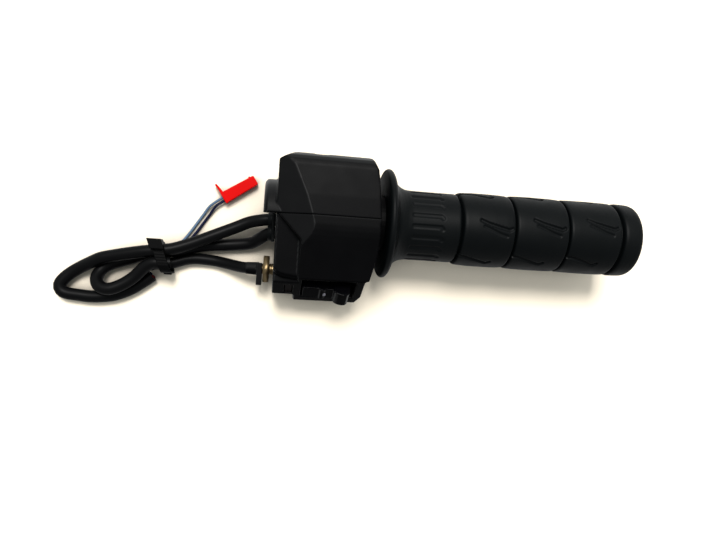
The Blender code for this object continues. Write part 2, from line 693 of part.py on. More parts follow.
def pin_along_v(radius, low, high, pivot):
    """A pin along the panel's V through the rocker's pivot."""
    bm = turned([(low, 0), (low, radius), (high, radius), (high, 0)], PIN_SIDES, closed=False)
    bm.transform(Matrix.Rotation(math.radians(90), 4, 'Z'))
    bm.transform(Matrix.Translation(pivot) @ panel_matrix().to_3x3().to_4x4())
    return bm


def add_switch_frame(root):
    def outline_point(v, w, u):
        return (u, v, w)

    frame = on_panel(prism(FRAME_OUTLINE, FRAME_U[0], FRAME_U[1], outline_point))
    item = add("switch_frame", frame, "tube_plastic", root)
    pivot = panel_point(ROCKER_U, 0, ROCKER_PIVOT_W)
    combine(item, add_tool("frame_hole_tool", pin_along_v(PIN_R + GAP, 0, 25, pivot), root))
    for name, u in zip(("contact_pad_left", "contact_pad_right"), PAD_U):
        pad = on_panel(box((u - PAD_HALF, WIPER_V[0], PAD_W[0]), (u + PAD_HALF, WIPER_V[1], PAD_W[1])))
        add(name, pad, "brass", root)


def add_starter_button(root):
    middle_u = sum(BUTTON_U) / 2
    middle_v = sum(BUTTON_V) / 2
    axis = axis_empty("button_axis", root, panel_point(middle_u, middle_v, 0))
    into_panel = panel_matrix().to_3x3().to_4x4()
    half_u = (BUTTON_U[1] - BUTTON_U[0]) / 2
    half_v = (BUTTON_V[1] - BUTTON_V[0]) / 2
    lip_u = half_u + BUTTON_LIP
    lip_v = half_v + BUTTON_LIP
    outline = [(-lip_u, BUTTON_LIP_W[1]), (-half_u, BUTTON_LIP_W[1]), (-half_u, BUTTON_W[1]),
               (half_u, BUTTON_W[1]), (half_u, BUTTON_LIP_W[1]), (lip_u, BUTTON_LIP_W[1]),
               (lip_u, BUTTON_LIP_W[0]), (half_u, BUTTON_LIP_W[0]), (half_u, BUTTON_W[0]),
               (-half_u, BUTTON_W[0]), (-half_u, BUTTON_LIP_W[0]), (-lip_u, BUTTON_LIP_W[0])]
    body = prism(outline, -half_v, half_v, lambda u, w, v: (u, v, w))
    body.transform(into_panel)
    add("starter_button", body, "button_plastic", axis)
    turns = SPRING_TURNS * SPRING_STEPS
    height = SPRING_W[1] - SPRING_W[0]
    path = [panel_point(middle_u + SPRING_R * math.cos(2 * math.pi * step / SPRING_STEPS),
                        middle_v + SPRING_R * math.sin(2 * math.pi * step / SPRING_STEPS),
                        SPRING_W[0] + height * step / turns) for step in range(turns + 1)]
    add("button_spring", level_wire(path, SPRING_WIRE_R, SPRING_SIDES), "steel", root, smooth=True)
    contact = box((BUTTON_U[0] - 1, BUTTON_V[0], CONTACT_W[0]),
                  (BUTTON_U[1] + 1, BUTTON_V[1], CONTACT_W[1]))
    add("button_contact", on_panel(contact), "brass", root)


def add_grommet(root):
    low = (GROMMET_X[0], LEAD_Y[1] - GROMMET_EDGE, LEAD_Z - GROMMET_HALF)
    high = (GROMMET_X[1], LEAD_Y[0] + GROMMET_EDGE, LEAD_Z + GROMMET_HALF)
    item = add("lead_grommet", box(low, high), "grip_rubber", root)
    for index, y in enumerate(LEAD_Y):
        hole = turned([(GROMMET_X[0] - 1, 0), (GROMMET_X[0] - 1, LEAD_R + GAP),
                       (GROMMET_X[1] + 1, LEAD_R + GAP), (GROMMET_X[1] + 1, 0)], HOLE_SIDES,
                      closed=False)
        tool = add_tool(f"grommet_hole_{index + 1}_tool", shifted(hole, (0, y, LEAD_Z)), root)
        combine(item, tool)


def add_leads(root):
    add_cord("lead_upper", LEAD_UPPER_ROUTE, LEAD_R, 7.0, "sleeve_vinyl", root)
    add_cord("lead_lower", LEAD_LOWER_ROUTE, LEAD_R, 7.0, "sleeve_vinyl", root)
    add_cord("throttle_cable", THROTTLE_CABLE_ROUTE, CABLE_R, 4.0, "sleeve_vinyl", root)
    add_cord("wire_pale", WIRE_PALE_ROUTE, THIN_R, 3.0, "wire_pale", root)
    add_cord("wire_dark", WIRE_DARK_ROUTE, THIN_R, 3.0, "wire_dark", root)
    boot = add("cable_boot", box(BOOT_LOW, BOOT_HIGH), "housing_plastic", root)
    round_edges(boot, EDGE)


def rounded_outline(low, high, radius):
    """A rectangle with round corners, as points round it."""
    points = []
    corners = ((high[0], high[1], 0), (low[0], high[1], 90), (low[0], low[1], 180),
               (high[0], low[1], 270))
    for a, b, start in corners:
        for step in range(CORNER_STEPS + 1):
            angle = math.radians(start + 90 * step / CORNER_STEPS)
            points.append((a + radius * math.cos(angle), b + radius * math.sin(angle)))
    return points


def add_tie(root):
    low = (TIE_CENTRES_Y[0], TIE_CENTRES_Z[0])
    high = (TIE_CENTRES_Y[1], TIE_CENTRES_Z[1])
    inner = rounded_outline(low, high, LEAD_R + TIE_PLAY)
    outer = rounded_outline(low, high, LEAD_R + TIE_PLAY + TIE_BAND)
    bm = bmesh.new()
    rings = []
    for outline in (outer, inner):
        for x in TIE_X:
            rings.append([bm.verts.new((x, y, z)) for y, z in outline])
    outer_a, outer_b, inner_a, inner_b = rings
    join_rings(bm, outer_a, outer_b)
    join_rings(bm, inner_a, inner_b)
    join_rings(bm, outer_a, inner_a)
    join_rings(bm, outer_b, inner_b)
    lean = Matrix.Identity(4)
    lean[0][1] = -TIE_LEAN
    lean[0][3] = TIE_LEAN * (TIE_CENTRES_Y[0] + TIE_CENTRES_Y[1]) / 2
    head = box(TIE_HEAD_LOW, TIE_HEAD_HIGH)
    bm.transform(lean)
    head.transform(lean)
    tie = add("cable_tie", bm, "sleeve_vinyl", root, smooth=True)
    combine(tie, add_tool("tie_head_tool", head, root), 'UNION')


def plug_matrix():
    """From the plug's own axes (length, width, height) to the bar's axes."""
    return Matrix.Translation(PLUG_REAR) @ Matrix.Rotation(PLUG_ANGLE, 4, 'Z')


def add_plug(root):
    length, width, height = PLUG_SIZE
    body = box((0, -width / 2, 0), (length, width / 2, height))
    body.transform(plug_matrix())
    shell = add("connector_shell", body, "plug_red", root)
    latch = box((-LATCH_THICK, 0, 0.6), (0, LATCH_LENGTH, height - 0.6))
    latch.transform(plug_matrix() @ Matrix.Translation((LATCH_THICK, width / 2 - 0.8, 0))
                    @ Matrix.Rotation(LATCH_ANGLE - math.radians(90), 4, 'Z'))
    combine(shell, add_tool("latch_tool", latch, root), 'UNION')
    for name, side in (("a", 1), ("b", -1)):
        offset = side * PLUG_PITCH / 2
        half = PLUG_CAVITY / 2
        middle = height / 2
        cavity = box((-1, offset - half, middle - half), (length + 1, offset + half, middle + half))
        cavity.transform(plug_matrix())
        combine(shell, add_tool(f"cavity_{name}_tool", cavity, root))
        pin = box((6, offset - PIN_SIZE[1] / 2, middle - PIN_SIZE[2] / 2),
                  (6 + PIN_SIZE[0], offset + PIN_SIZE[1] / 2, middle + PIN_SIZE[2] / 2))
        pin.transform(plug_matrix())
        add("connector_pin_" + name, pin, "brass", root)


def main():
    clear_scene()
    root = bpy.data.objects.new("bar_axis", None)
    bpy.context.collection.objects.link(root)
    root.location = Vector((BAR_X, BAR_Y, BAR_Z)) * MM
    twist = axis_empty("twist_axis", root, (0, 0, 0))
    tools = add_housing_tools(root)
    add_front_half(root, tools)
    add_rear_half(root, tools)
    add_clamp_screws(root)
    add_throttle(twist)
    add_cable_guide(root)
    add_rocker(root)
    add_switch_frame(root)
    add_starter_button(root)
    add_grommet(root)
    add_leads(root)
    add_tie(root)
    add_plug(root)
    bpy.context.view_layer.update()


main()
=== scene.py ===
"""Looks of the right-hand throttle grip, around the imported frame.

Lengths are millimetres from the point where the bar axis meets the grip's flange, as in the
design: X outboard, Y to the front, Z up. place() turns them into the row frame's metres.
"""

import json
import math

import bmesh
import bpy
import numpy as np
from mathutils import Matrix, Vector


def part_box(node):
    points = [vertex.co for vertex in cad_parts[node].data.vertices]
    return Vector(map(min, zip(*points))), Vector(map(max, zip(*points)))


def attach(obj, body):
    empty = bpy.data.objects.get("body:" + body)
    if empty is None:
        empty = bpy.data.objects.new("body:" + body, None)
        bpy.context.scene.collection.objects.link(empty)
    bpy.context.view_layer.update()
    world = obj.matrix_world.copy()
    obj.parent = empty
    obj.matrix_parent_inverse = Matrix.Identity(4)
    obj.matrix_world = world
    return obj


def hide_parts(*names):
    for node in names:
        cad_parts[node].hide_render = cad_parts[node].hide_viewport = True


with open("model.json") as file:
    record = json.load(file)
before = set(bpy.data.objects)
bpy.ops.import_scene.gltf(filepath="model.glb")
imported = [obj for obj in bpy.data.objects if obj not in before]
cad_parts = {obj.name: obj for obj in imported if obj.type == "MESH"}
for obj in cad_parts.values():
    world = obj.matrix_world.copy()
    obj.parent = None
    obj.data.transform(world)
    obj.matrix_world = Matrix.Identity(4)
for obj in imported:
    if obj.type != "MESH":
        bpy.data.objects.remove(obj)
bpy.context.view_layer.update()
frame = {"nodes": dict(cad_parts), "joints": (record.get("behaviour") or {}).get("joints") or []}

MM = 0.001
HOUSING, TWIST, ROCKER, BUTTON = "housing", "twist_grip", "rocker_switch", "start_button"
twist_joint = next(joint for joint in frame["joints"] if joint["name"] == "throttle_twist")
BAR = Vector([round(c / MM, 3) for c in twist_joint["pos_m"]])


def place(point):
    return (Vector(point) + BAR) * MM


def bar_box(node):
    """A solid's lowest and highest corners in bar millimetres, to a hundredth."""
    return [[round(c, 2) for c in corner / MM - BAR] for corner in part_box(node)]


def bar_middle(node):
    """The middle of a solid's box in bar millimetres, to a tenth."""
    return [round((low + high) / 2, 1) for low, high in zip(*bar_box(node))]


# ---------------------------------------------------------------- node helpers

def coordinate(tree, space, axis):
    """One axis of the Generated or Object coordinates."""
    where = tree.nodes.new("ShaderNodeTexCoord")
    split = tree.nodes.new("ShaderNodeSeparateXYZ")
    tree.links.new(where.outputs[space], split.inputs["Vector"])
    return split.outputs[axis]


def remap(tree, value, low, high, to_low=0.0, to_high=1.0):
    """Turns the range low to high of a value into to_low to to_high, clamped at both ends."""
    node = tree.nodes.new("ShaderNodeMapRange")
    node.inputs["From Min"].default_value = low
    node.inputs["From Max"].default_value = high
    node.inputs["To Min"].default_value = to_low
    node.inputs["To Max"].default_value = to_high
    tree.links.new(value, node.inputs["Value"])
    return node


# ---------------------------------------------------------------- camera, light, floor

SENSOR_MM = 36.0
LENS_MM = 29.64
NEAREST_M = 0.01
CAMERA_POINT = (-49.6, -24.16, 285.9)
CAMERA_DEGREES = (-0.551, -8.469, 3.495)

# (Y of a direction, brightness of the room that way): from behind the object to the front.
ROOM_LIGHT = ((-1.0, 0.45), (-0.9, 0.22), (-0.66, 0.20), (-0.45, 0.27), (-0.2, 0.42), (0.1, 0.46),
              (0.5, 0.48), (0.8, 0.42), (0.94, 0.5), (1.0, 0.8))
ROOM_TINT = (0.95, 1.0, 1.01)
ROOM_STRENGTH = 2.0
WINDOW_ENERGY = 4.2
WINDOW_SPAN_DEGREES = 22
WINDOW_DEGREES = (-27, 0, 8)
WINDOW_COLOUR = (1.0, 0.985, 0.96)

FLOOR_HALF_M = 1.5
FLOOR_CELLS = 8
FLOOR_DROP_M = 0.0002
TABLE_COLOUR = (0.86, 0.77, 0.64)
# painted contact shadow: ambient occlusion within this reach darkens the table's colour
CREVICE_REACH_M = 0.022
CREVICE_OPEN = (0.3, 0.72)
CREVICE_SHADE = 0.4
# The table's brightness to every ray but the camera's, from behind the object to the front.
DIM_FROM_M, DIM_TO_M = -0.10, 0.02
DIM_BEHIND, DIM_FRONT = 0.26, 0.62


def add_camera():
    data = bpy.data.cameras.new("camera")
    data.sensor_fit = 'HORIZONTAL'
    data.sensor_width = SENSOR_MM
    data.lens = LENS_MM
    data.clip_start = NEAREST_M
    camera = bpy.data.objects.new("camera", data)
    camera.location = place(CAMERA_POINT)
    camera.rotation_euler = [math.radians(a) for a in CAMERA_DEGREES]
    bpy.context.collection.objects.link(camera)
    bpy.context.scene.camera = camera


def add_light():
    """A soft window above and a little to the front, in a room that is dimmer behind the object."""
    scene = bpy.context.scene
    scene.view_settings.view_transform = 'Standard'
    world = bpy.data.worlds.new("room")
    world.use_nodes = True
    tree = world.node_tree
    front = remap(tree, coordinate(tree, "Generated", "Y"), -1.0, 1.0)
    walls = tree.nodes.new("ShaderNodeValToRGB")
    stops = walls.color_ramp.elements
    while len(stops) < len(ROOM_LIGHT):
        stops.new(1.0)
    for stop, (y, strength) in zip(stops, ROOM_LIGHT):
        stop.position = (y + 1) / 2
        stop.color = (*[part * strength for part in ROOM_TINT], 1.0)
    tree.links.new(front.outputs["Result"], walls.inputs["Fac"])
    sky = tree.nodes["Background"]
    sky.inputs["Strength"].default_value = ROOM_STRENGTH
    tree.links.new(walls.outputs["Color"], sky.inputs["Color"])
    scene.world = world
    sun = bpy.data.lights.new("window", 'SUN')
    sun.energy = WINDOW_ENERGY
    sun.angle = math.radians(WINDOW_SPAN_DEGREES)
    sun.color = WINDOW_COLOUR
    lamp = bpy.data.objects.new("window", sun)
    lamp.rotation_euler = [math.radians(a) for a in WINDOW_DEGREES]
    bpy.context.collection.objects.link(lamp)


def shade_crevices(tree):
    """Paints a contact shadow into the table's colour where the object is near."""
    crevice = tree.nodes.new("ShaderNodeAmbientOcclusion")
    crevice.inputs["Distance"].default_value = CREVICE_REACH_M
    shade = remap(tree, crevice.outputs["AO"], *CREVICE_OPEN, CREVICE_SHADE)
    darker = tree.nodes.new("ShaderNodeMix")
    darker.data_type = 'RGBA'
    darker.blend_type = 'MULTIPLY'
    darker.inputs["Factor"].default_value = 1.0
    colour = tree.nodes["Principled BSDF"].inputs["Base Color"]
    tree.links.new(colour.links[0].from_socket, darker.inputs["A"])
    tree.links.new(shade.outputs["Result"], darker.inputs["B"])
    tree.links.new(darker.outputs["Result"], colour)


def dim_for_object(tree):
    """Gives every ray but the camera's a less bright table, dimmest behind the object."""
    front = remap(tree, coordinate(tree, "Object", "Y"), DIM_FROM_M, DIM_TO_M, DIM_BEHIND, DIM_FRONT)
    dim = tree.nodes.new("ShaderNodeBsdfDiffuse")
    tree.links.new(front.outputs["Result"], dim.inputs["Color"])
    seen = tree.nodes.new("ShaderNodeLightPath")
    choose = tree.nodes.new("ShaderNodeMixShader")
    tree.links.new(seen.outputs["Is Camera Ray"], choose.inputs["Fac"])
    tree.links.new(dim.outputs["BSDF"], choose.inputs[1])
    tree.links.new(tree.nodes["Principled BSDF"].outputs["BSDF"], choose.inputs[2])
    tree.links.new(choose.outputs["Shader"], tree.nodes["Material Output"].inputs["Surface"])


def add_floor():
    """A white table. It looks over-exposed, yet lights the object as a less bright one does."""
    bm = bmesh.new()
    bmesh.ops.create_grid(bm, x_segments=FLOOR_CELLS, y_segments=FLOOR_CELLS, size=FLOOR_HALF_M)
    mesh = bpy.data.meshes.new("floor")
    bm.to_mesh(mesh)
    bm.free()
    floor = bpy.data.objects.new("floor", mesh)
    bpy.context.collection.objects.link(floor)
    floor.location.z = -FLOOR_DROP_M
    look = material("table_white", TABLE_COLOUR, 0.8, grain=0.02, bump=0.0, mottle=0.02,
                    specular=0.1)
    # painted contact shadow in the table's colour
    shade_crevices(look.node_tree)
    dim_for_object(look.node_tree)
    mesh.materials.append(look)


# ---------------------------------------------------------------- materials

SLOW_NOISE_MM, SLOW_DETAIL, FINE_DETAIL = 9.0, 3.0, 2.0
BUMP_HEIGHT_MM = 0.05
SMOOTHEST = 0.02

FACET_NORMAL = (-0.346, -0.128, 0.929)
# Each is (direction, from, to, level): faces that look that way get another specular level, which
# paints light and shade.
# painted highlight: more specular on faces turned to the front, as if the bright table shone in them
PAINTED_FRONT_HIGHLIGHT = ((0.0, 0.5, -1.0), -0.8, -0.1, 0.30)
# painted glint: more specular along the crease between the facet and the top
PAINTED_CREASE_GLINT = ((-0.175, -0.07, 0.982), 0.990, 0.998, 0.20)
# painted highlight: more specular on the facet's faces
LIT_FACET = (FACET_NORMAL, 0.975, 0.995, 0.105)
TO_PANEL = (0.0, -0.875, 0.484)
# painted shade: less specular on faces that look back and down like the switch panel
PAINTED_PANEL_SHADE = (TO_PANEL, 0.80, 0.92, 0.012)
# painted shade: almost no specular on the key's faces that look like the panel
PAINTED_KEY_SHADE = (TO_PANEL, 0.80, 0.92, 0.005)
# painted shade: less specular on rubber faces that look inboard, such as the flange's inboard face
PAINTED_FLANGE_SHADE = ((-1.0, 0.0, 0.0), 0.4, 0.85, 0.008)


def add_noise(tree, scale_mm, detail):
    where = tree.nodes.new("ShaderNodeTexCoord")
    node = tree.nodes.new("ShaderNodeTexNoise")
    node.inputs["Scale"].default_value = 1.0 / (scale_mm * MM)
    node.inputs["Detail"].default_value = detail
    tree.links.new(where.outputs["Object"], node.inputs["Vector"])
    return node


def vary_specular(tree, specular, by_facing):
    """Lets the specular level follow the way a face looks, to paint highlights and shade; a later
    entry wins over an earlier.
    """
    socket = tree.nodes["Principled BSDF"].inputs["Specular IOR Level"]
    for direction, low, high, level in by_facing:
        facing = tree.nodes.new("ShaderNodeNewGeometry")
        match = tree.nodes.new("ShaderNodeVectorMath")
        match.operation = 'DOT_PRODUCT'
        match.inputs[1].default_value = direction
        tree.links.new(facing.outputs["Normal"], match.inputs[0])
        gleam = remap(tree, match.outputs["Value"], low, high, specular, level)
        if socket.is_linked:
            tree.links.new(socket.links[0].from_socket, gleam.inputs["To Min"])
        tree.links.new(gleam.outputs["Result"], socket)


def material(name, colour, roughness, metallic=0.0, grain=0.2, bump=0.1, mottle=0.15, specular=0.5,
             spread=0.12, by_facing=()):
    """A moulded or metal surface: fine grain (in mm) in the bump, slow variation in tone (mottle)
    and in gloss (spread), and a specular level that may vary with the way a face looks, which
    paints highlights and shade."""
    made = bpy.data.materials.new(name)
    made.use_nodes = True
    tree = made.node_tree
    shader = tree.nodes["Principled BSDF"]
    shader.inputs["Metallic"].default_value = metallic
    shader.inputs["Specular IOR Level"].default_value = specular
    slow = add_noise(tree, SLOW_NOISE_MM, SLOW_DETAIL)
    tone = tree.nodes.new("ShaderNodeMix")
    tone.data_type = 'RGBA'
    tone.inputs["A"].default_value = (*[c * (1 - mottle) for c in colour], 1)
    tone.inputs["B"].default_value = (*[min(1, c * (1 + mottle)) for c in colour], 1)
    tree.links.new(slow.outputs["Fac"], tone.inputs["Factor"])
    tree.links.new(tone.outputs["Result"], shader.inputs["Base Color"])
    gloss = remap(tree, slow.outputs["Fac"], 0.0, 1.0, max(SMOOTHEST, roughness - spread),
                  min(1.0, roughness + spread))
    tree.links.new(gloss.outputs["Result"], shader.inputs["Roughness"])
    if bump:
        fine = add_noise(tree, grain, FINE_DETAIL)
        relief = tree.nodes.new("ShaderNodeBump")
        relief.inputs["Strength"].default_value = bump
        relief.inputs["Distance"].default_value = BUMP_HEIGHT_MM * MM
        tree.links.new(fine.outputs["Fac"], relief.inputs["Height"])
        tree.links.new(relief.outputs["Normal"], shader.inputs["Normal"])
    vary_specular(tree, specular, by_facing)
    return made


def add_materials():
    return {
        # painted highlights, glint and shade by facing on the housing
        "housing": material("moulded_nylon", (0.0008, 0.0008, 0.0010), 0.44, grain=0.25, bump=0.5,
                            specular=0.052,
                            by_facing=(PAINTED_FRONT_HIGHLIGHT, PAINTED_PANEL_SHADE, PAINTED_CREASE_GLINT, LIT_FACET)),
        # painted shade on the flange's inboard face
        "rubber": material("grip_rubber", (0.0012, 0.0017, 0.0019), 0.46, grain=0.35, bump=0.5,
                           specular=0.068, by_facing=(PAINTED_FLANGE_SHADE,)),
        "tube": material("tube_plastic", (0.0012, 0.0012, 0.0013), 0.45, grain=0.4, bump=0.2,
                         specular=0.03),
        # painted shade on the key's faces that look like the panel
        "gloss": material("gloss_plastic", (0.0008, 0.0008, 0.0012), 0.16, grain=0.6, bump=0.05,
                          spread=0.04, specular=0.035, by_facing=(PAINTED_KEY_SHADE,)),
        "button": material("button_plastic", (0.0015, 0.0004, 0.0004), 0.3, grain=0.5, bump=0.1,
                           specular=0.015),
        "sleeve": material("sleeve_vinyl", (0.0018, 0.0018, 0.0020), 0.42, grain=1.2, bump=0.35,
                           spread=0.08, specular=0.055),
        "zinc": material("yellow_zinc", (0.16, 0.115, 0.06), 0.40, metallic=1.0, grain=0.3,
                         bump=0.3, mottle=0.25),
        "steel": material("steel", (0.20, 0.20, 0.21), 0.33, metallic=1.0, grain=0.3, bump=0.2),
        "brass": material("brass", (0.30, 0.21, 0.08), 0.3, metallic=1.0, grain=0.3, bump=0.2),
        "red": material("plug_red", (0.47, 0.0006, 0.0002), 0.35, grain=0.5, bump=0.2, mottle=0.1,
                        specular=0.03),
        "pale": material("wire_pale", (0.075, 0.12, 0.185), 0.42, grain=0.6, bump=0.2,
                         specular=0.1),
        "navy": material("wire_dark", (0.002, 0.003, 0.020), 0.42, grain=0.6, bump=0.2,
                         specular=0.1),
        "white": material("paint_white", (0.16, 0.155, 0.18), 0.5, grain=0.3, bump=0.3,
                          specular=0.1),
        "core": material("lead_core", (0.045, 0.001, 0.001), 0.6, grain=0.5, bump=0.4,
                         specular=0.05),
    }


# ---------------------------------------------------------------- mesh helpers

FULL_TURN = 2 * math.pi
CUT_TOLERANCE = 1e-5


def link(name, bm, look, body, smooth_angle=35.0):
    """A bmesh in bar millimetres becomes a piece in the row frame that rides on a body."""
    bmesh.ops.translate(bm, vec=BAR, verts=bm.verts)
    bmesh.ops.scale(bm, vec=(MM, MM, MM), verts=bm.verts)
    bmesh.ops.recalc_face_normals(bm, faces=bm.faces)
    mesh = bpy.data.meshes.new(name)
    bm.to_mesh(mesh)
    bm.free()
    item = bpy.data.objects.new(name, mesh)
    bpy.context.collection.objects.link(item)
    mesh.materials.append(LOOKS[look])
    mesh.shade_smooth()
    mesh.set_sharp_from_angle(angle=math.radians(smooth_angle))
    if body:
        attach(item, body)
    return item


def bake(item):
    """Applies an item's modifiers."""
    graph = bpy.context.evaluated_depsgraph_get()
    mesh = bpy.data.meshes.new_from_object(item.evaluated_get(graph))
    item.modifiers.clear()
    item.data = mesh


def mould(item, voxel=0.4, passes=8, crisp=None):
    """Rounds every edge as moulding does: an even fine mesh, then smoothed. Edges within a
    millimetre of the plane y = crisp stay sharp."""
    remesh = item.modifiers.new("even", 'REMESH')
    remesh.mode = 'VOXEL'
    remesh.voxel_size = voxel * MM
    bake(item)
    relax = item.modifiers.new("round", 'SMOOTH')
    relax.factor = 0.5
    relax.iterations = passes
    if crisp is not None:
        level = (crisp + BAR.y) * MM
        group = item.vertex_groups.new(name="round")
        group.add([v.index for v in item.data.vertices if abs(v.co.y - level) > MM], 1.0, 'REPLACE')
        relax.vertex_group = group.name
    bake(item)
    item.data.shade_smooth()


def combine(item, bm, operation='DIFFERENCE'):
    """One Boolean with a tool drawn in bar millimetres."""
    tool = link("tool", bm, "housing", None)
    step = item.modifiers.new("cut", 'BOOLEAN')
    step.operation = operation
    step.object = tool
    step.solver = 'EXACT'
    bake(item)
    bpy.data.objects.remove(tool)


def stand_for(node):
    """The piece takes the place of one CAD node."""
    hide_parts(node)


def box(low, high):
    bm = bmesh.new()
    low, high = Vector(low), Vector(high)
    bmesh.ops.create_cube(bm, size=1.0)
    bmesh.ops.scale(bm, vec=high - low, verts=bm.verts)
    bmesh.ops.translate(bm, vec=(high + low) / 2, verts=bm.verts)
    return bm


def carve(bm, point, normal):
    """Cuts off what lies beyond a plane and closes the cut."""
    parts = bm.verts[:] + bm.edges[:] + bm.faces[:]
    result = bmesh.ops.bisect_plane(bm, geom=parts, plane_co=point, plane_no=normal,
                                    dist=CUT_TOLERANCE, clear_outer=True)
    rim = [part for part in result["geom_cut"] if isinstance(part, bmesh.types.BMEdge)]
    if len(rim) > 2:
        bmesh.ops.contextual_create(bm, geom=rim)


def carve_plan(bm, outline):
    """Carves along each side of a plan drawn clockwise."""
    for (x0, y0), (x1, y1) in zip(outline, outline[1:]):
        carve(bm, (x0, y0, 0), (y0 - y1, x1 - x0, 0))


def join_rings(bm, first, second):
    count = len(first)
    for index in range(count):
        after = (index + 1) % count
        bm.faces.new((first[index], first[after], second[after], second[index]))


def add_fan(bm, ring, pole):
    count = len(ring)
    for index in range(count):
        bm.faces.new((ring[index], ring[(index + 1) % count], pole))


def prism(outline, low, high, lift):
    """Extrudes an outline between two heights; lift turns (a, b, height) into a point."""
    bm = bmesh.new()
    bottom = [bm.verts.new(lift(a, b, low)) for a, b in outline]
    top = [bm.verts.new(lift(a, b, high)) for a, b in outline]
    bm.faces.new(bottom)
    bm.faces.new(top)
    join_rings(bm, bottom, top)
    return bm


def turned(profile, segments, closed=False):
    """Turns (x, radius) points about X; an open profile starts and ends on the axis."""
    bm = bmesh.new()
    angles = [FULL_TURN * index / segments for index in range(segments)]
    rings = []
    for x, radius in profile:
        if radius == 0:
            rings.append([bm.verts.new((x, 0, 0))])
        else:
            rings.append([bm.verts.new((x, radius * math.sin(a), radius * math.cos(a)))
                          for a in angles])
    pairs = list(zip(rings, rings[1:]))
    if closed:
        pairs.append((rings[-1], rings[0]))
    for first, second in pairs:
        if len(first) == 1:
            add_fan(bm, second, first[0])
        elif len(second) == 1:
            add_fan(bm, first, second[0])
        else:
            join_rings(bm, first, second)
    return bm


def moved(bm, vec):
    bmesh.ops.translate(bm, vec=vec, verts=bm.verts)
    return bm


def along_y(bm, x, z):
    bm.transform(Matrix.Translation((x, 0, z)) @ Matrix.Rotation(math.radians(90), 4, 'Z'))
    return bm


def arc(centre, radius, start, end, steps):
    points = []
    for step in range(steps + 1):
        angle = math.radians(start + (end - start) * step / steps)
        points.append((centre[0] + radius * math.cos(angle), centre[1] + radius * math.sin(angle)))
    return points


def ring_outline(radius, count, a=0.0, b=0.0):
    angles = [FULL_TURN * k / count for k in range(count)]
    return [(a + radius * math.cos(angle), b + radius * math.sin(angle)) for angle in angles]


def lengthwise(y, z, x):
    return (x, y, z)


def flat(x, y, z):
    return (x, y, z)


def across(u, w, v):
    return (u, v, w)


# ---------------------------------------------------------------- housing

INBOARD, OUTBOARD = [corner[0] for corner in bar_box("rear_half")]
NECK_END, _, BASE = bar_box("front_half")[0]
SCREW_X, _, SCREW_Z = bar_middle("clamp_screw_upper")
_, GUIDE_Y, GUIDE_Z = bar_middle("cable_adjuster")
SPARE = 5
PARTING = 0.02
BORE = 11.4
HOLE_SIDES, PASSAGE_SIDES = 32, 96
# (x, radius) of the clamp's bore, the drum's room and the throttle tube's way out.
PASSAGE = ((-62, 0), (-62, BORE), (-24, BORE), (-24, 19), (-5, 19), (-5, 14), (5, 14), (5, 0))
SCREW_WELL = ((-9.8, 0), (-9.8, 2.2), (17, 2.2), (17, 3.2), (36, 3.2), (36, 0))
LEAD_Y, LEAD_Z = (-0.9, -7.4), -15.6
LEAD_HOLE = ((-53, 0), (-53, 3.3), (-38, 3.3), (-38, 0))
GUIDE_HOLE = ((-53, 0), (-53, 3.2), (-45, 3.2), (-45, 0))

PANEL_TOP = (-29.0, 12.0)
PANEL_FOOT = (-39.5, -7.0)
PANEL_UP = Vector((0, PANEL_TOP[0] - PANEL_FOOT[0], PANEL_TOP[1] - PANEL_FOOT[1])).normalized()
PANEL = Matrix.Translation((0, *PANEL_FOOT)) @ Matrix(
    ((1, 0, 0), PANEL_UP, Vector((1, 0, 0)).cross(PANEL_UP))).transposed().to_4x4()
FACET_POINT = (-39.0, 13.4, 22.0)

FRONT_OUTLINE = ((PARTING, 22.0), (9.0, 22.1), (22.3, 21.7), (24.4, 21.1), (26.2, 19.7),
                 (27.5, 17.3), (28.3, 14.2), (28.7, 11.0), (28.7, -12.0), (27.4, -17.6),
                 (24.3, -22.6), (19.5, BASE), (PARTING, BASE))
FRONT_PLAN = ((INBOARD, 0), (INBOARD, 24.0), (-41.3, 28.7), (-8.5, 28.7), (-5.4, 22.0),
              (-4.5, 16.5), (OUTBOARD, 0))
FRONT_HOLLOW = ((-42, 14, -10), (-10, 26.3, 10))
NECK_STATIONS = ((NECK_END, 15.2), (NECK_END + 0.5, 16.2), (NECK_END + 1.5, 17.0),
                 (INBOARD + 4, 17.0))
NECK_BORE = BORE - 0.6
NECK_LOW, NECK_HIGH_DEGREES, NECK_STEPS = -9.0, 89.5, 28

REAR_OUTLINE = ((-PARTING, BASE), (-27, BASE), (-33, -24), (-39.5, -17), PANEL_FOOT, PANEL_TOP,
                (-13.5, 18.8), (-11.4, 19.75), (-9.0, 20.7), (-6.5, 21.4), (-4.0, 21.8),
                (-PARTING, 22.0))
REAR_PLAN = ((OUTBOARD, 0), (OUTBOARD, -14), (-4.1, -22), (-6.9, -36), (-9.5, -39.5),
             (INBOARD, -39.5), (INBOARD, 0))
# The low deck at the inboard end, under the diagonal step that the STEP plan cuts.
DECK = (0, 1.0, 15.0)
DECK_UP = (0, -0.126, 0.992)
DECK_END = -30
STEP = ((-56, 7.6), (-38.4, -11.5), (-38.4, -45), (-56, -45))
STEP_HIGH = 40
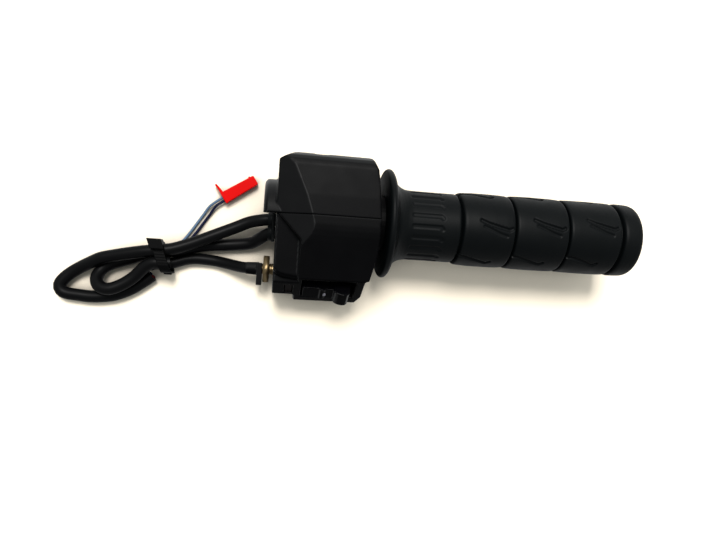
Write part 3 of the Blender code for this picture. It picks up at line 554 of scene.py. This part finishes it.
# The drop behind the deck, cut to LEDGE_LOW, and LEDGE_INSET more to the front to LEDGE_MIDDLE.
LEDGE = ((-56, -23.6), (-50.2, -25.5), (-48.2, -27.3), (-45.8, -28.4), (-42, -28.9),
         (-38.2, -29.3), (-38.2, -45), (-56, -45))
LEDGE_LOW, LEDGE_MIDDLE, LEDGE_HIGH, LEDGE_INSET = 8.5, 10.4, 34, 1.2
INBOARD_NOTCH = ((INBOARD - 2, -43, BASE - 2), (-39.6, -36.7, 3))
OUTBOARD_NOTCH = ((-7.1, -43, BASE - 2), (OUTBOARD + 2, -28.7, 14.5))
CABLE_ROOM = ((-47, -29, -19), (-9, -8, -12.5))
# On the panel: u across, v up the slope, w out of it.
SWITCH_ROOM = ((-46.5, 4.4), (-37.6, 4.4), (-37.6, 2.3), (-10.7, 2.3), (-10.7, 21.5),
               (-37.6, 21.5), (-37.6, 16.0), (-46.5, 16.0))
SWITCH_ROOM_W = (-11.0, -2.4)
ROCKER_SLOT = ((-36.5, 4.2, -4.4), (-11.1, 20.4, 5))
BUTTON_SLOT = ((-44.5, 6.7, -4.4), (-40.3, 14.9, 5))


def on_panel(bm):
    bm.transform(PANEL)
    return bm


def passage():
    return turned(PASSAGE, PASSAGE_SIDES)


def screw_well(z):
    return along_y(turned(SCREW_WELL, HOLE_SIDES), SCREW_X, z)


def lead_hole(y):
    return moved(turned(LEAD_HOLE, HOLE_SIDES), (0, y, LEAD_Z))


def at_guide(bm):
    return moved(bm, (0, GUIDE_Y, GUIDE_Z))


def neck():
    """The front half's collar: a half ring with a chamfered end and a flat underside."""
    bm = bmesh.new()
    rings = []
    for x, outer in NECK_STATIONS:
        outer_low, inner_low = [math.degrees(math.asin(NECK_LOW / radius))
                                for radius in (outer, NECK_BORE)]
        outline = arc((0, 0), outer, NECK_HIGH_DEGREES, outer_low, NECK_STEPS)
        outline += arc((0, 0), NECK_BORE, inner_low, NECK_HIGH_DEGREES, NECK_STEPS)
        rings.append([bm.verts.new((x, y, z)) for y, z in outline])
    for first, second in zip(rings, rings[1:]):
        join_rings(bm, first, second)
    bm.faces.new(rings[0])
    bm.faces.new(rings[-1])
    return bm


def add_front_half():
    bm = prism(FRONT_OUTLINE, INBOARD - SPARE, OUTBOARD + SPARE, lengthwise)
    carve_plan(bm, FRONT_PLAN)
    carve(bm, FACET_POINT, FACET_NORMAL)
    half = link("front_shell", bm, "housing", HOUSING)
    combine(half, neck(), 'UNION')
    for cut in (passage(), screw_well(SCREW_Z), screw_well(-SCREW_Z), lead_hole(LEAD_Y[0]),
                box(*FRONT_HOLLOW)):
        combine(half, cut)
    mould(half, crisp=PARTING)
    stand_for("front_half")


def rear_block():
    bm = prism(REAR_OUTLINE, INBOARD - SPARE, OUTBOARD + SPARE, lengthwise)
    carve_plan(bm, REAR_PLAN)
    return bm


def above_deck():
    bm = prism(STEP, 0, STEP_HIGH, flat)
    carve(bm, DECK, [-a for a in DECK_UP])
    return bm


def below_deck():
    bm = rear_block()
    carve(bm, DECK, DECK_UP)
    carve(bm, (DECK_END, 0, 0), (1, 0, 0))
    return bm


def add_rear_half():
    bm = rear_block()
    carve(bm, FACET_POINT, FACET_NORMAL)
    half = link("rear_shell", bm, "housing", HOUSING)
    combine(half, above_deck())
    combine(half, below_deck(), 'UNION')
    cuts = [
        passage(),
        screw_well(SCREW_Z),
        screw_well(-SCREW_Z),
        lead_hole(LEAD_Y[0]),
        lead_hole(LEAD_Y[1]),
        box(*INBOARD_NOTCH),
        prism(LEDGE, LEDGE_LOW, LEDGE_HIGH, flat),
        prism([(x, y + LEDGE_INSET) for x, y in LEDGE], LEDGE_MIDDLE, LEDGE_HIGH, flat),
        box(*OUTBOARD_NOTCH),
        on_panel(prism(SWITCH_ROOM, *SWITCH_ROOM_W, flat)),
        on_panel(box(*ROCKER_SLOT)),
        on_panel(box(*BUTTON_SLOT)),
        box(*CABLE_ROOM),
        at_guide(turned(GUIDE_HOLE, HOLE_SIDES)),
    ]
    for cut in cuts:
        combine(half, cut)
    mould(half, crisp=-PARTING)
    stand_for("rear_half")


# ---------------------------------------------------------------- switches and fixings

ROCKER_U, ROCKER_PIVOT_W = -23.8, -4.6
ROCKER_TILT_DEGREES = -10
# (u, w) side views, u from the pivot and w from the panel.
ROCKER_FACE = ((-11.2, 1.4), (-10.6, 2.1), (-8.0, 1.7), (-4.2, 1.0), (-3.2, 1.1), (-2.5, 1.5),
               (-1.8, 1.6), (-1.0, 1.4), (0.0, 0.6), (3.2, 0.15), (4.0, 0.3), (11.2, 0.4))
ROCKER_BACK = ((11.0, -4.6), (3.0, -6.6), (-3.0, -6.6), (-11.0, -4.6))
ROCKER_KNOB = ((3.6, -4.0), (3.8, 0.9), (4.8, 2.1), (6.2, 2.6), (8.6, 2.7), (10.2, 2.3),
               (11.0, 1.3), (11.2, 0.4), (11.0, -4.0))
ROCKER_V, KNOB_V, PIN_V = (4.5, 13.6), (4.4, 15.2), (0, 25)
PIN_HOLE, DOT_RADIUS = 1.1, 1.15
DOT_U, DOT_V, DOT_W = -0.9, 9.0, (5.4, 6.0)
SMALL_SIDES = 24

BUTTON_U = -42.4
BUTTON_V = (7.0, 14.6)
BUTTON_OUTLINE = ((-2.7, -2.7), (-1.8, -2.7), (-1.8, -0.8), (-1.2, -0.6), (0, -0.75), (1.2, -0.6),
                  (1.8, -0.8), (1.8, -2.7), (2.7, -2.7), (2.7, -3.9), (1.8, -3.9), (1.8, -5.0),
                  (-1.8, -5.0), (-1.8, -3.9), (-2.7, -3.9))

SCREW = ((-9.5, 0), (-9.5, 1.1), (-8.4, 1.9), (17.3, 1.9), (17.3, 2.75), (18.9, 2.75),
         (19.4, 2.35), (19.75, 1.3), (19.8, 0))
SCREW_SIDES = 40
SCREW_SLOTS = ((0.45, 1.6), (1.6, 0.45))
SLOT_Y = (18.5, 21)


def from_pivot(u, w, v):
    return (u, v, w - ROCKER_PIVOT_W)


def on_rocker(bm):
    tilt = Matrix.Rotation(math.radians(ROCKER_TILT_DEGREES), 4, 'Y')
    pivot = PANEL @ Vector((ROCKER_U, 0, ROCKER_PIVOT_W))
    bm.transform(Matrix.Translation(pivot) @ PANEL.to_3x3().to_4x4() @ tilt)
    return bm


def add_rocker():
    body = on_rocker(prism(ROCKER_FACE + ROCKER_BACK, *ROCKER_V, from_pivot))
    piece = link("rocker_key", body, "gloss", ROCKER)
    combine(piece, on_rocker(prism(ROCKER_KNOB, *KNOB_V, from_pivot)), 'UNION')
    combine(piece, on_rocker(prism(ring_outline(PIN_HOLE, SMALL_SIDES), *PIN_V, across)))
    mould(piece, voxel=0.2, passes=5)
    stand_for("rocker")
    dot = prism(ring_outline(DOT_RADIUS, SMALL_SIDES, DOT_U, DOT_V), *DOT_W, flat)
    link("rocker_dot", on_rocker(dot), "white", ROCKER)


def add_button():
    body = on_panel(prism([(u + BUTTON_U, w) for u, w in BUTTON_OUTLINE], *BUTTON_V, across))
    piece = link("button_key", body, "button", BUTTON)
    mould(piece, voxel=0.16, passes=4)
    stand_for("starter_button")


def add_screws():
    for name, z in (("upper", SCREW_Z), ("lower", -SCREW_Z)):
        shape = along_y(turned(SCREW, SCREW_SIDES), SCREW_X, z)
        piece = link("screw_" + name, shape, "steel", HOUSING)
        for wide, tall in SCREW_SLOTS:
            combine(piece, box((SCREW_X - wide, SLOT_Y[0], z - tall),
                               (SCREW_X + wide, SLOT_Y[1], z + tall)))
        stand_for("clamp_screw_" + name)


ADJUSTER_HEAD = ((-45.8, 1.2), (-45.8, 2.9), (-50.2, 2.9))
ADJUSTER_TIP = ((-55.5, 2.75), (-55.7, 2.5), (-55.7, 1.2))
THREAD_START, THREAD_PITCH, THREAD_TURNS = -50.3, 0.85, 6
# (back from a turn's start, radius)
THREAD_TOOTH = ((0.0, 2.9), (0.3, 2.9), (0.5, 2.55), (0.65, 2.55))
NUT_FLATS = 13.0
NUT_X = (-54.9, -51.9)
NUT_CHAMFER = ((-54.95, 0), (-54.95, 6.5), (-54.3, 7.55), (-52.5, 7.55), (-51.85, 6.5),
               (-51.85, 0))
NUT_HOLE = ((-56, 0), (-56, 3.2), (-51, 3.2), (-51, 0))
GUIDE_SIDES, NUT_SIDES = 48, 64


def add_adjuster():
    profile = list(ADJUSTER_HEAD)
    for turn in range(THREAD_TURNS):
        x = THREAD_START - THREAD_PITCH * turn
        profile += [(x - back, radius) for back, radius in THREAD_TOOTH]
    profile += ADJUSTER_TIP
    piece = link("adjuster", at_guide(turned(profile, GUIDE_SIDES, closed=True)), "zinc", HOUSING)
    stand_for("cable_adjuster")


def add_nut():
    corner = NUT_FLATS / math.sqrt(3)
    turns = [math.radians(60 * k) for k in range(6)]
    hexagon = [(corner * math.sin(turn), corner * math.cos(turn)) for turn in turns]
    piece = link("nut", at_guide(prism(hexagon, *NUT_X, lengthwise)), "zinc", HOUSING,
                 smooth_angle=20)
    combine(piece, at_guide(turned(NUT_CHAMFER, NUT_SIDES)), 'INTERSECT')
    combine(piece, at_guide(turned(NUT_HOLE, GUIDE_SIDES)))
    stand_for("adjuster_nut")


BOOT = ((-58.0, -33.6, -19.3), (-55.4, -22.6, -11.3))
BOOT_COLLAR = ((-63.4, 0), (-63.4, 2.95), (-57, 3.25), (-57, 0))
GROMMET_CONE = ((-51.5, 0), (-51.5, 4.0), (-52.6, 3.9), (-53.9, 3.45), (-53.9, 0))
GROMMET_HOLE = ((-55, 0), (-55, 3.12), (-50, 3.12), (-50, 0))


def add_boot():
    piece = link("boot", box(*BOOT), "housing", HOUSING)
    combine(piece, at_guide(turned(BOOT_COLLAR, HOLE_SIDES)), 'UNION')
    mould(piece, voxel=0.2, passes=8)
    stand_for("cable_boot")


def add_grommet():
    piece = link("grommet", box(*bar_box("lead_grommet")), "rubber", HOUSING)
    for profile, operation in ((GROMMET_CONE, 'UNION'), (GROMMET_HOLE, 'DIFFERENCE')):
        for y in LEAD_Y:
            combine(piece, moved(turned(profile, HOLE_SIDES), (0, y, LEAD_Z)), operation)
    mould(piece, voxel=0.16, passes=3)
    stand_for("lead_grommet")


# ---------------------------------------------------------------- grip

RINGS = (36.2, 62.5, 89.6)
GRIP_SIDES = 288
GRIP_STEP = 0.35
# (x, radius) of the outside, from the flange's inboard rim to the rim of the closed end.
GRIP_OUTLINE = (
    (0.3, 24.8), (0.6, 25.6), (1.3, 26.1), (2.0, 26.3), (2.8, 26.1), (3.4, 25.5), (4.0, 24.5),
    (4.5, 23.0), (5.0, 21.4), (5.8, 20.0), (7.0, 18.8), (8.6, 17.8), (10.4, 17.1), (12.5, 16.8),
    (20, 16.75), (35.3, 16.8), (35.9, 16.3), (36.3, 15.2), (36.8, 16.6), (37.3, 17.4),
    (38.4, 17.7), (44, 18.0), (52, 18.05), (58, 17.95), (61.2, 17.75), (62.0, 17.4), (62.5, 15.7),
    (63.0, 17.4), (63.8, 17.9), (66, 18.05), (74, 18.25), (84, 18.2), (88.4, 18.0), (89.1, 17.6),
    (89.6, 15.8), (90.1, 17.6), (90.9, 18.05), (94, 18.2), (104, 18.3), (113, 18.25),
    (115.6, 18.1), (116.3, 17.5), (116.9, 16.0), (117.3, 15.9), (117.9, 17.3), (118.5, 18.0),
    (119.6, 18.3), (122.0, 18.3), (125.4, 18.15), (126.8, 17.8), (127.7, 17.1), (128.1, 16.2),
    (128.2, 15.0))
GRIP_BORE = ((123.8, 13.5), (0.3, 13.5))
GRIP_END = ((128.2, 13.2), (128.1, 12.6), (127.8, 12.2), (127.8, 11.6), (128.0, 10.8))
GRIP_END_MIDDLE = 128.1
ROUNDING_PASSES = 2

# Grooves on the unrolled grip, as (width, depth, [(x, degrees), ...]).
FLUTES, FLUTE_START = 20, -5
FLUTE = (1.9, 0.40, ((13.2, 0), (26.2, 0), (27.0, -3)))
# Three times round in each section, x from the section's ring.
HOOKS = (
    (1.5, 0.80, ((0.8, -51), (3.5, -51.5), (9.5, -57), (15, -63.5), (16.6, -59))),
    (1.5, 0.80, ((9, 11), (13, 6), (18, 2), (23, -1.5), (24.4, 1))),
    (1.2, 0.50, ((10.5, 2), (14, -2), (18.5, -8), (22, -11))))
SECTION_TURN = 6.5
GROOVE_RADIUS = 17.8
GROOVE_EDGE = 0.5
FAR = 99.0


def grip_outline():
    """The outside in short steps, a little rounded."""
    fine = [GRIP_OUTLINE[0]]
    for (x0, r0), (x1, r1) in zip(GRIP_OUTLINE, GRIP_OUTLINE[1:]):
        count = max(1, round(math.hypot(x1 - x0, r1 - r0) / GRIP_STEP))
        fine += [(x0 + (x1 - x0) * i / count, r0 + (r1 - r0) * i / count)
                 for i in range(1, count + 1)]
    line = np.array(fine)
    for _ in range(ROUNDING_PASSES):
        line[1:-1] = 0.25 * line[:-2] + 0.5 * line[1:-1] + 0.25 * line[2:]
    return line


def shifted(groove, x, degrees):
    width, deep, path = groove
    return width, deep, [(x + dx, degrees + turn) for dx, turn in path]


def groove_lines():
    lines = [shifted(FLUTE, 0, 360 / FLUTES * index + FLUTE_START) for index in range(FLUTES)]
    for section, ring in enumerate(RINGS):
        for third in range(3):
            turn = 120 * third + SECTION_TURN * section
            lines += [shifted(hook, ring, turn) for hook in HOOKS]
    return lines


def groove_depth(x, angle):
    """How deep the grooves are at each point of a grid of x and angle in degrees."""
    depth = np.zeros_like(x)
    reach = math.radians(GROOVE_RADIUS)
    for width, deep, path in groove_lines():
        near = np.full_like(x, FAR)
        for (x0, a0), (x1, a1) in zip(path, path[1:]):
            span = (angle - a0 + 180) % 360 - 180
            px, py = x - x0, span * reach
            dx, dy = x1 - x0, (a1 - a0) * reach
            along = np.clip((px * dx + py * dy) / (dx * dx + dy * dy), 0, 1)
            near = np.minimum(near, np.hypot(px - along * dx, py - along * dy))
        edge = np.clip(((width + GROOVE_EDGE) / 2 - near) / GROOVE_EDGE, 0, 1)
        depth = np.maximum(depth, deep * edge * edge * (3 - 2 * edge))
    return depth


def grip_rings(degrees):
    """(x values, radii) of each ring: along the bore, over the outside and into the end."""
    line = grip_outline()
    xs, turns = np.meshgrid(line[:, 0], degrees, indexing='ij')
    radii = line[:, 1][:, None] - groove_depth(xs, turns)
    plain = [(np.full_like(degrees, x), np.full_like(degrees, radius))
             for x, radius in GRIP_BORE + GRIP_END]
    return plain[:len(GRIP_BORE)] + list(zip(xs, radii)) + plain[len(GRIP_BORE):]


def add_grip():
    degrees = np.arange(GRIP_SIDES) * 360.0 / GRIP_SIDES
    sines, cosines = np.sin(np.radians(degrees)), np.cos(np.radians(degrees))
    bm = bmesh.new()
    rings = [[bm.verts.new(point) for point in zip(x, radius * sines, radius * cosines)]
             for x, radius in grip_rings(degrees)]
    for first, second in zip(rings, rings[1:]):
        join_rings(bm, first, second)
    add_fan(bm, rings[0], bm.verts.new((GRIP_BORE[0][0], 0, 0)))
    add_fan(bm, rings[-1], bm.verts.new((GRIP_END_MIDDLE, 0, 0)))
    grip = link("grip", bm, "rubber", TWIST, smooth_angle=50)
    stand_for("grip_sleeve")


# ---------------------------------------------------------------- leads

LEAD_UPPER = (
    (-46.5, -0.9, -15.6), (-52.9, -0.9, -15.6), (-57.0, -1.4, -16.0), (-63.0, -2.8, -17.6),
    (-70.0, -6.0, -18.0), (-79.5, -10.4, -17.2), (-88.7, -14.6, -16.5), (-97.0, -17.9, -15.4),
    (-102.5, -19.2, -15.0), (-109.5, -20.1, -15.0), (-117.0, -21.4, -15.8), (-126.4, -23.4, -17.2),
    (-132.5, -25.0, -18.2), (-138.0, -27.6, -20.6), (-142.6, -30.0, -22.6), (-146.8, -32.8, -23.2),
    (-150.2, -36.0, -23.2), (-151.9, -39.0, -23.2), (-151.0, -41.8, -23.2), (-148.0, -43.1, -23.2),
    (-143.0, -43.6, -23.2), (-138.0, -44.0, -23.2), (-132.9, -43.8, -23.2), (-126.0, -42.6, -23.2),
    (-119.1, -39.6, -23.2), (-113.8, -36.0, -23.2), (-109.0, -32.2, -23.2))
LEAD_LOWER = (
    (-46.5, -7.4, -15.6), (-50.4, -7.4, -15.6), (-53.4, -7.9, -16.0), (-56.1, -9.5, -17.7),
    (-58.6, -11.2, -20.2), (-61.8, -12.9, -22.4), (-67.3, -13.9, -23.2), (-74.7, -14.7, -23.2),
    (-82.1, -15.3, -23.2), (-89.3, -16.6, -23.2), (-96.4, -18.6, -22.0), (-102.5, -19.5, -21.4),
    (-109.5, -19.6, -21.4), (-117.2, -23.4, -22.7), (-124.5, -26.0, -23.2),
    (-129.8, -28.0, -23.2), (-133.4, -31.2, -22.6), (-134.4, -35.2, -20.4),
    (-132.2, -38.6, -18.0), (-127.6, -39.6, -17.0), (-121.8, -37.2, -17.2),
    (-116.4, -33.2, -17.2), (-111.6, -28.2, -16.0), (-107.5, -25.8, -15.0),
    (-103.0, -25.7, -15.0), (-99.4, -25.2, -15.4))
CABLE = (
    (-58.7, -25.5, -15.3), (-61.8, -25.5, -15.3), (-64.0, -25.4, -16.1), (-67.5, -25.0, -18.6),
    (-73.0, -24.0, -21.6), (-79.1, -23.0, -23.3), (-86.6, -22.5, -23.4), (-92.5, -23.0, -23.4),
    (-97.5, -24.6, -22.6), (-102.5, -26.0, -21.6), (-107.5, -26.4, -21.7), (-110.6, -27.2, -22.3))
WIRE_PALE = (
    (-101.8, -17.0, -25.6), (-98.8, -15.9, -25.6), (-95.9, -14.1, -25.6), (-92.5, -9.6, -25.6),
    (-89.3, -4.6, -25.6), (-86.2, 0.2, -25.4), (-83.8, 3.9, -24.7), (-81.4, 6.1, -24.1),
    (-79.3, 7.7, -24.0), (-76.4, 9.9, -24.0))
WIRE_DARK = (
    (-101.2, -19.0, -25.6), (-98.2, -17.5, -25.6), (-95.0, -15.6, -25.6), (-92.2, -12.9, -25.6),
    (-89.4, -9.2, -25.6), (-86.4, -4.6, -25.6), (-83.6, -0.3, -25.4), (-81.6, 2.8, -24.7),
    (-80.0, 5.0, -24.1), (-77.9, 6.6, -24.0), (-75.0, 8.6, -24.0))


LEAD_RADIUS, CABLE_RADIUS, WIRE_RADIUS = 3.0, 2.75, 0.65
LEAD_TUBE = {"sides": 24, "step": 1.2}
WIRE_TUBE = {"sides": 12, "step": 0.6}


def smooth_route(route, step):
    """Points about one step apart on a Catmull-Rom curve through the route."""
    knots = [Vector(p) for p in route]
    knots = [2 * knots[0] - knots[1]] + knots + [2 * knots[-1] - knots[-2]]
    points = []
    for a, b, c, d in zip(knots, knots[1:], knots[2:], knots[3:]):
        count = max(2, round((c - b).length / step))
        for index in range(count):
            t = index / count
            points.append(0.5 * (2 * b + (c - a) * t + (2 * a - 5 * b + 4 * c - d) * t * t
                                 + (3 * b - a - 3 * c + d) * t ** 3))
    points.append(knots[-2])
    return points


def tube(path, radius, sides):
    """A round tube along a path."""
    bm = bmesh.new()
    tangents = [(path[min(i + 1, len(path) - 1)] - path[max(i - 1, 0)]).normalized()
                for i in range(len(path))]
    side = tangents[0].orthogonal().normalized()
    rings = []
    for centre, tangent in zip(path, tangents):
        side = (side - tangent * side.dot(tangent)).normalized()
        up = tangent.cross(side)
        rings.append([bm.verts.new(centre + side * a + up * b)
                      for a, b in ring_outline(radius, sides)])
    for first, second in zip(rings, rings[1:]):
        join_rings(bm, first, second)
    bm.faces.new(rings[0])
    bm.faces.new(rings[-1])
    return bm


def add_cord(name, route, radius, look, node, far_end, with_pieces, stiffness, sides, step):
    path = smooth_route(route, step)
    piece = link(name, tube(path, radius, sides), look, HOUSING, smooth_angle=50)
    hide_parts(node)


def add_leads():
    for name, route, radius, node in (("upper_lead", LEAD_UPPER, LEAD_RADIUS, "lead_upper"),
                                      ("lower_lead", LEAD_LOWER, LEAD_RADIUS, "lead_lower"),
                                      ("cable", CABLE, CABLE_RADIUS, "throttle_cable")):
        add_cord(name, route, radius, "sleeve", node, "bare", [], "medium", **LEAD_TUBE)
    plug = [frame["nodes"][name] for name in ("connector_shell", "connector_pin_a",
                                              "connector_pin_b")]
    for name, route, look, node in (("pale_wire", WIRE_PALE, "pale", "wire_pale"),
                                    ("dark_wire", WIRE_DARK, "navy", "wire_dark")):
        add_cord(name, route, WIRE_RADIUS, look, node, "connector", list(plug), "limp", **WIRE_TUBE)


# (y, z, degrees where its arc starts) of the band's four corners, and the point between them.
TIE_CORNERS = ((-19.3, -15.0, 0), (-26.0, -15.0, 90), (-26.0, -21.4, 180), (-19.3, -21.4, 270))
TIE_MIDDLE = (-22.65, -18.2)
TIE_LEAN = 0.38
TIE_X, TIE_HOLE_X = (-106.3, -101.1), (-115, -96)
TIE_OUTSIDE, TIE_INSIDE, TIE_RIPPLE = 4.3, 3.4, 0.08
TIE_HEAD = ((-107.1, -19.0, -16.0), (-100.4, -14.1, -9.4))
TIE_SLOT = ((-105.8, -20.0, -11.9), (-101.7, -13.0, -10.6))
TIE_TAIL = ((-105.5, -31.1, -17.4), (-101.8, -29.6, -16.2))
TIE_STEPS = 10


def strap_outline(radius, ripple):
    """Round the two leads in a rounded rectangle; ripple raises the strap's teeth."""
    points = []
    for index, (y, z, start) in enumerate(TIE_CORNERS):
        points += arc((y, z), radius, start, start + 90, TIE_STEPS)
        ahead = TIE_CORNERS[(index + 1) % len(TIE_CORNERS)]
        turn = math.radians(start + 90)
        away = Vector((math.cos(turn), math.sin(turn))) * radius
        points += [Vector((y, z)).lerp(Vector(ahead[:2]), step / TIE_STEPS) + away
                   for step in range(1, TIE_STEPS)]
    waved = []
    for index, point in enumerate(points):
        out = (Vector(point) - Vector(TIE_MIDDLE)).normalized()
        waved.append(tuple(Vector(point) + out * (ripple if index % 2 else 0.0)))
    return waved


def leaning(bm):
    """Shears a shape along the bundle, which crosses the tie at a slant."""
    lean = Matrix.Identity(4)
    lean[0][1] = -TIE_LEAN
    lean[0][3] = TIE_LEAN * TIE_MIDDLE[0]
    bm.transform(lean)
    return bm


def add_tie():
    band = prism(strap_outline(TIE_OUTSIDE, TIE_RIPPLE), *TIE_X, lengthwise)
    piece = link("tie", leaning(band), "tube", HOUSING)
    inner = prism(strap_outline(TIE_INSIDE, 0.0), *TIE_HOLE_X, lengthwise)
    for shape, operation in ((inner, 'DIFFERENCE'), (box(*TIE_HEAD), 'UNION'),
                             (box(*TIE_SLOT), 'DIFFERENCE'), (box(*TIE_TAIL), 'UNION')):
        combine(piece, leaning(shape), operation)
    mould(piece, voxel=0.2, passes=2)
    stand_for("cable_tie")


# In the connector's own frame: from its mouth along it, across it, and up from the table.
PLUG = Matrix.Translation((-76.9, 8.75, -26.1)) @ Matrix.Rotation(math.atan2(10.1, 14.85), 4, 'Z')
PLUG_OUTLINE = ((0, -2.9), (0.5, -3.1), (1.4, -2.9), (18.2, -2.5), (18.8, -2.3), (18.8, 2.3),
                (18.2, 2.5), (1.4, 2.9), (0, 2.9))
PLUG_HEIGHT = (0, 4.2)
# (along, out to the side, half thickness) of the latch arm.
PLUG_ARM = ((0.9, 2.0, 0.75), (0.8, 4.0, 0.7), (0.6, 6.0, 0.6), (0.3, 8.0, 0.5))
ARM_HEIGHT = (0.7, 3.5)
BOSS_RADIUS, BOSS_SIDES, BOSS_ALONG, BOSS_ACROSS, BOSS_HEIGHT = 0.55, 20, 16.6, 2.7, (1.2, 3.0)
CAVITY_SIDES, CAVITY_HALF, CAVITY_ALONG, CAVITY_HEIGHT = (1.25, -1.25), 0.95, (-1, 19), (1.15, 3.05)


def in_plug(bm):
    bm.transform(PLUG)
    return bm


def add_connector():
    shell = link("plug", in_plug(prism(PLUG_OUTLINE, *PLUG_HEIGHT, flat)), "red", HOUSING)
    arm = [(along - half, out) for along, out, half in PLUG_ARM]
    arm += [(along + half, out) for along, out, half in reversed(PLUG_ARM)]
    combine(shell, in_plug(prism(arm, *ARM_HEIGHT, flat)), 'UNION')
    boss = ring_outline(BOSS_RADIUS, BOSS_SIDES, BOSS_ALONG, BOSS_ACROSS)
    combine(shell, in_plug(prism(boss, *BOSS_HEIGHT, flat)), 'UNION')
    for side in CAVITY_SIDES:
        combine(shell, in_plug(box((CAVITY_ALONG[0], side - CAVITY_HALF, CAVITY_HEIGHT[0]),
                                   (CAVITY_ALONG[1], side + CAVITY_HALF, CAVITY_HEIGHT[1]))))
    mould(shell, voxel=0.16, passes=2)
    stand_for("connector_shell")


STRANDS = (("core", 70), ("navy", 190), ("core", 310))
STRAND_RADIUS, STRAND_ORBIT, STRAND_SIDES = 0.85, 1.25, 20
STRAND_REACH = (-0.6, 0.3, 0.5)


def add_cut_end():
    """The strands that show in the cut end of the upper lead."""
    end, before = Vector(LEAD_UPPER[-1]), Vector(LEAD_UPPER[-2])
    ahead = (end - before).normalized()
    side = ahead.cross(Vector((0, 0, 1))).normalized()
    up = side.cross(ahead)
    for index, (look, degrees) in enumerate(STRANDS):
        turn = math.radians(degrees)
        spot = end + (side * math.cos(turn) + up * math.sin(turn)) * STRAND_ORBIT
        strand = tube([spot + ahead * reach for reach in STRAND_REACH], STRAND_RADIUS,
                      STRAND_SIDES)
        link(f"strand_{index}", strand, look, HOUSING, smooth_angle=50)


# ---------------------------------------------------------------- solids shown as they are

NODE_LOOKS = {
    "throttle_tube": "tube", "cable_nipple": "zinc", "inner_cable": "steel", "cable_elbow": "steel",
    "rocker_wiper": "brass", "rocker_pin": "steel", "switch_frame": "tube",
    "contact_pad_left": "brass", "contact_pad_right": "brass", "button_spring": "steel",
    "button_contact": "brass", "connector_pin_a": "brass", "connector_pin_b": "brass",
}


def dress_nodes():
    for name, look in NODE_LOOKS.items():
        node = frame["nodes"][name]
        node.data.materials.clear()
        node.data.materials.append(LOOKS[look])


LOOKS = add_materials()
add_camera()
add_light()
add_floor()
add_leads()
add_front_half()
add_rear_half()
add_grip()
add_rocker()
add_button()
add_screws()
add_adjuster()
add_nut()
add_boot()
add_grommet()
add_tie()
add_connector()
add_cut_end()
dress_nodes()
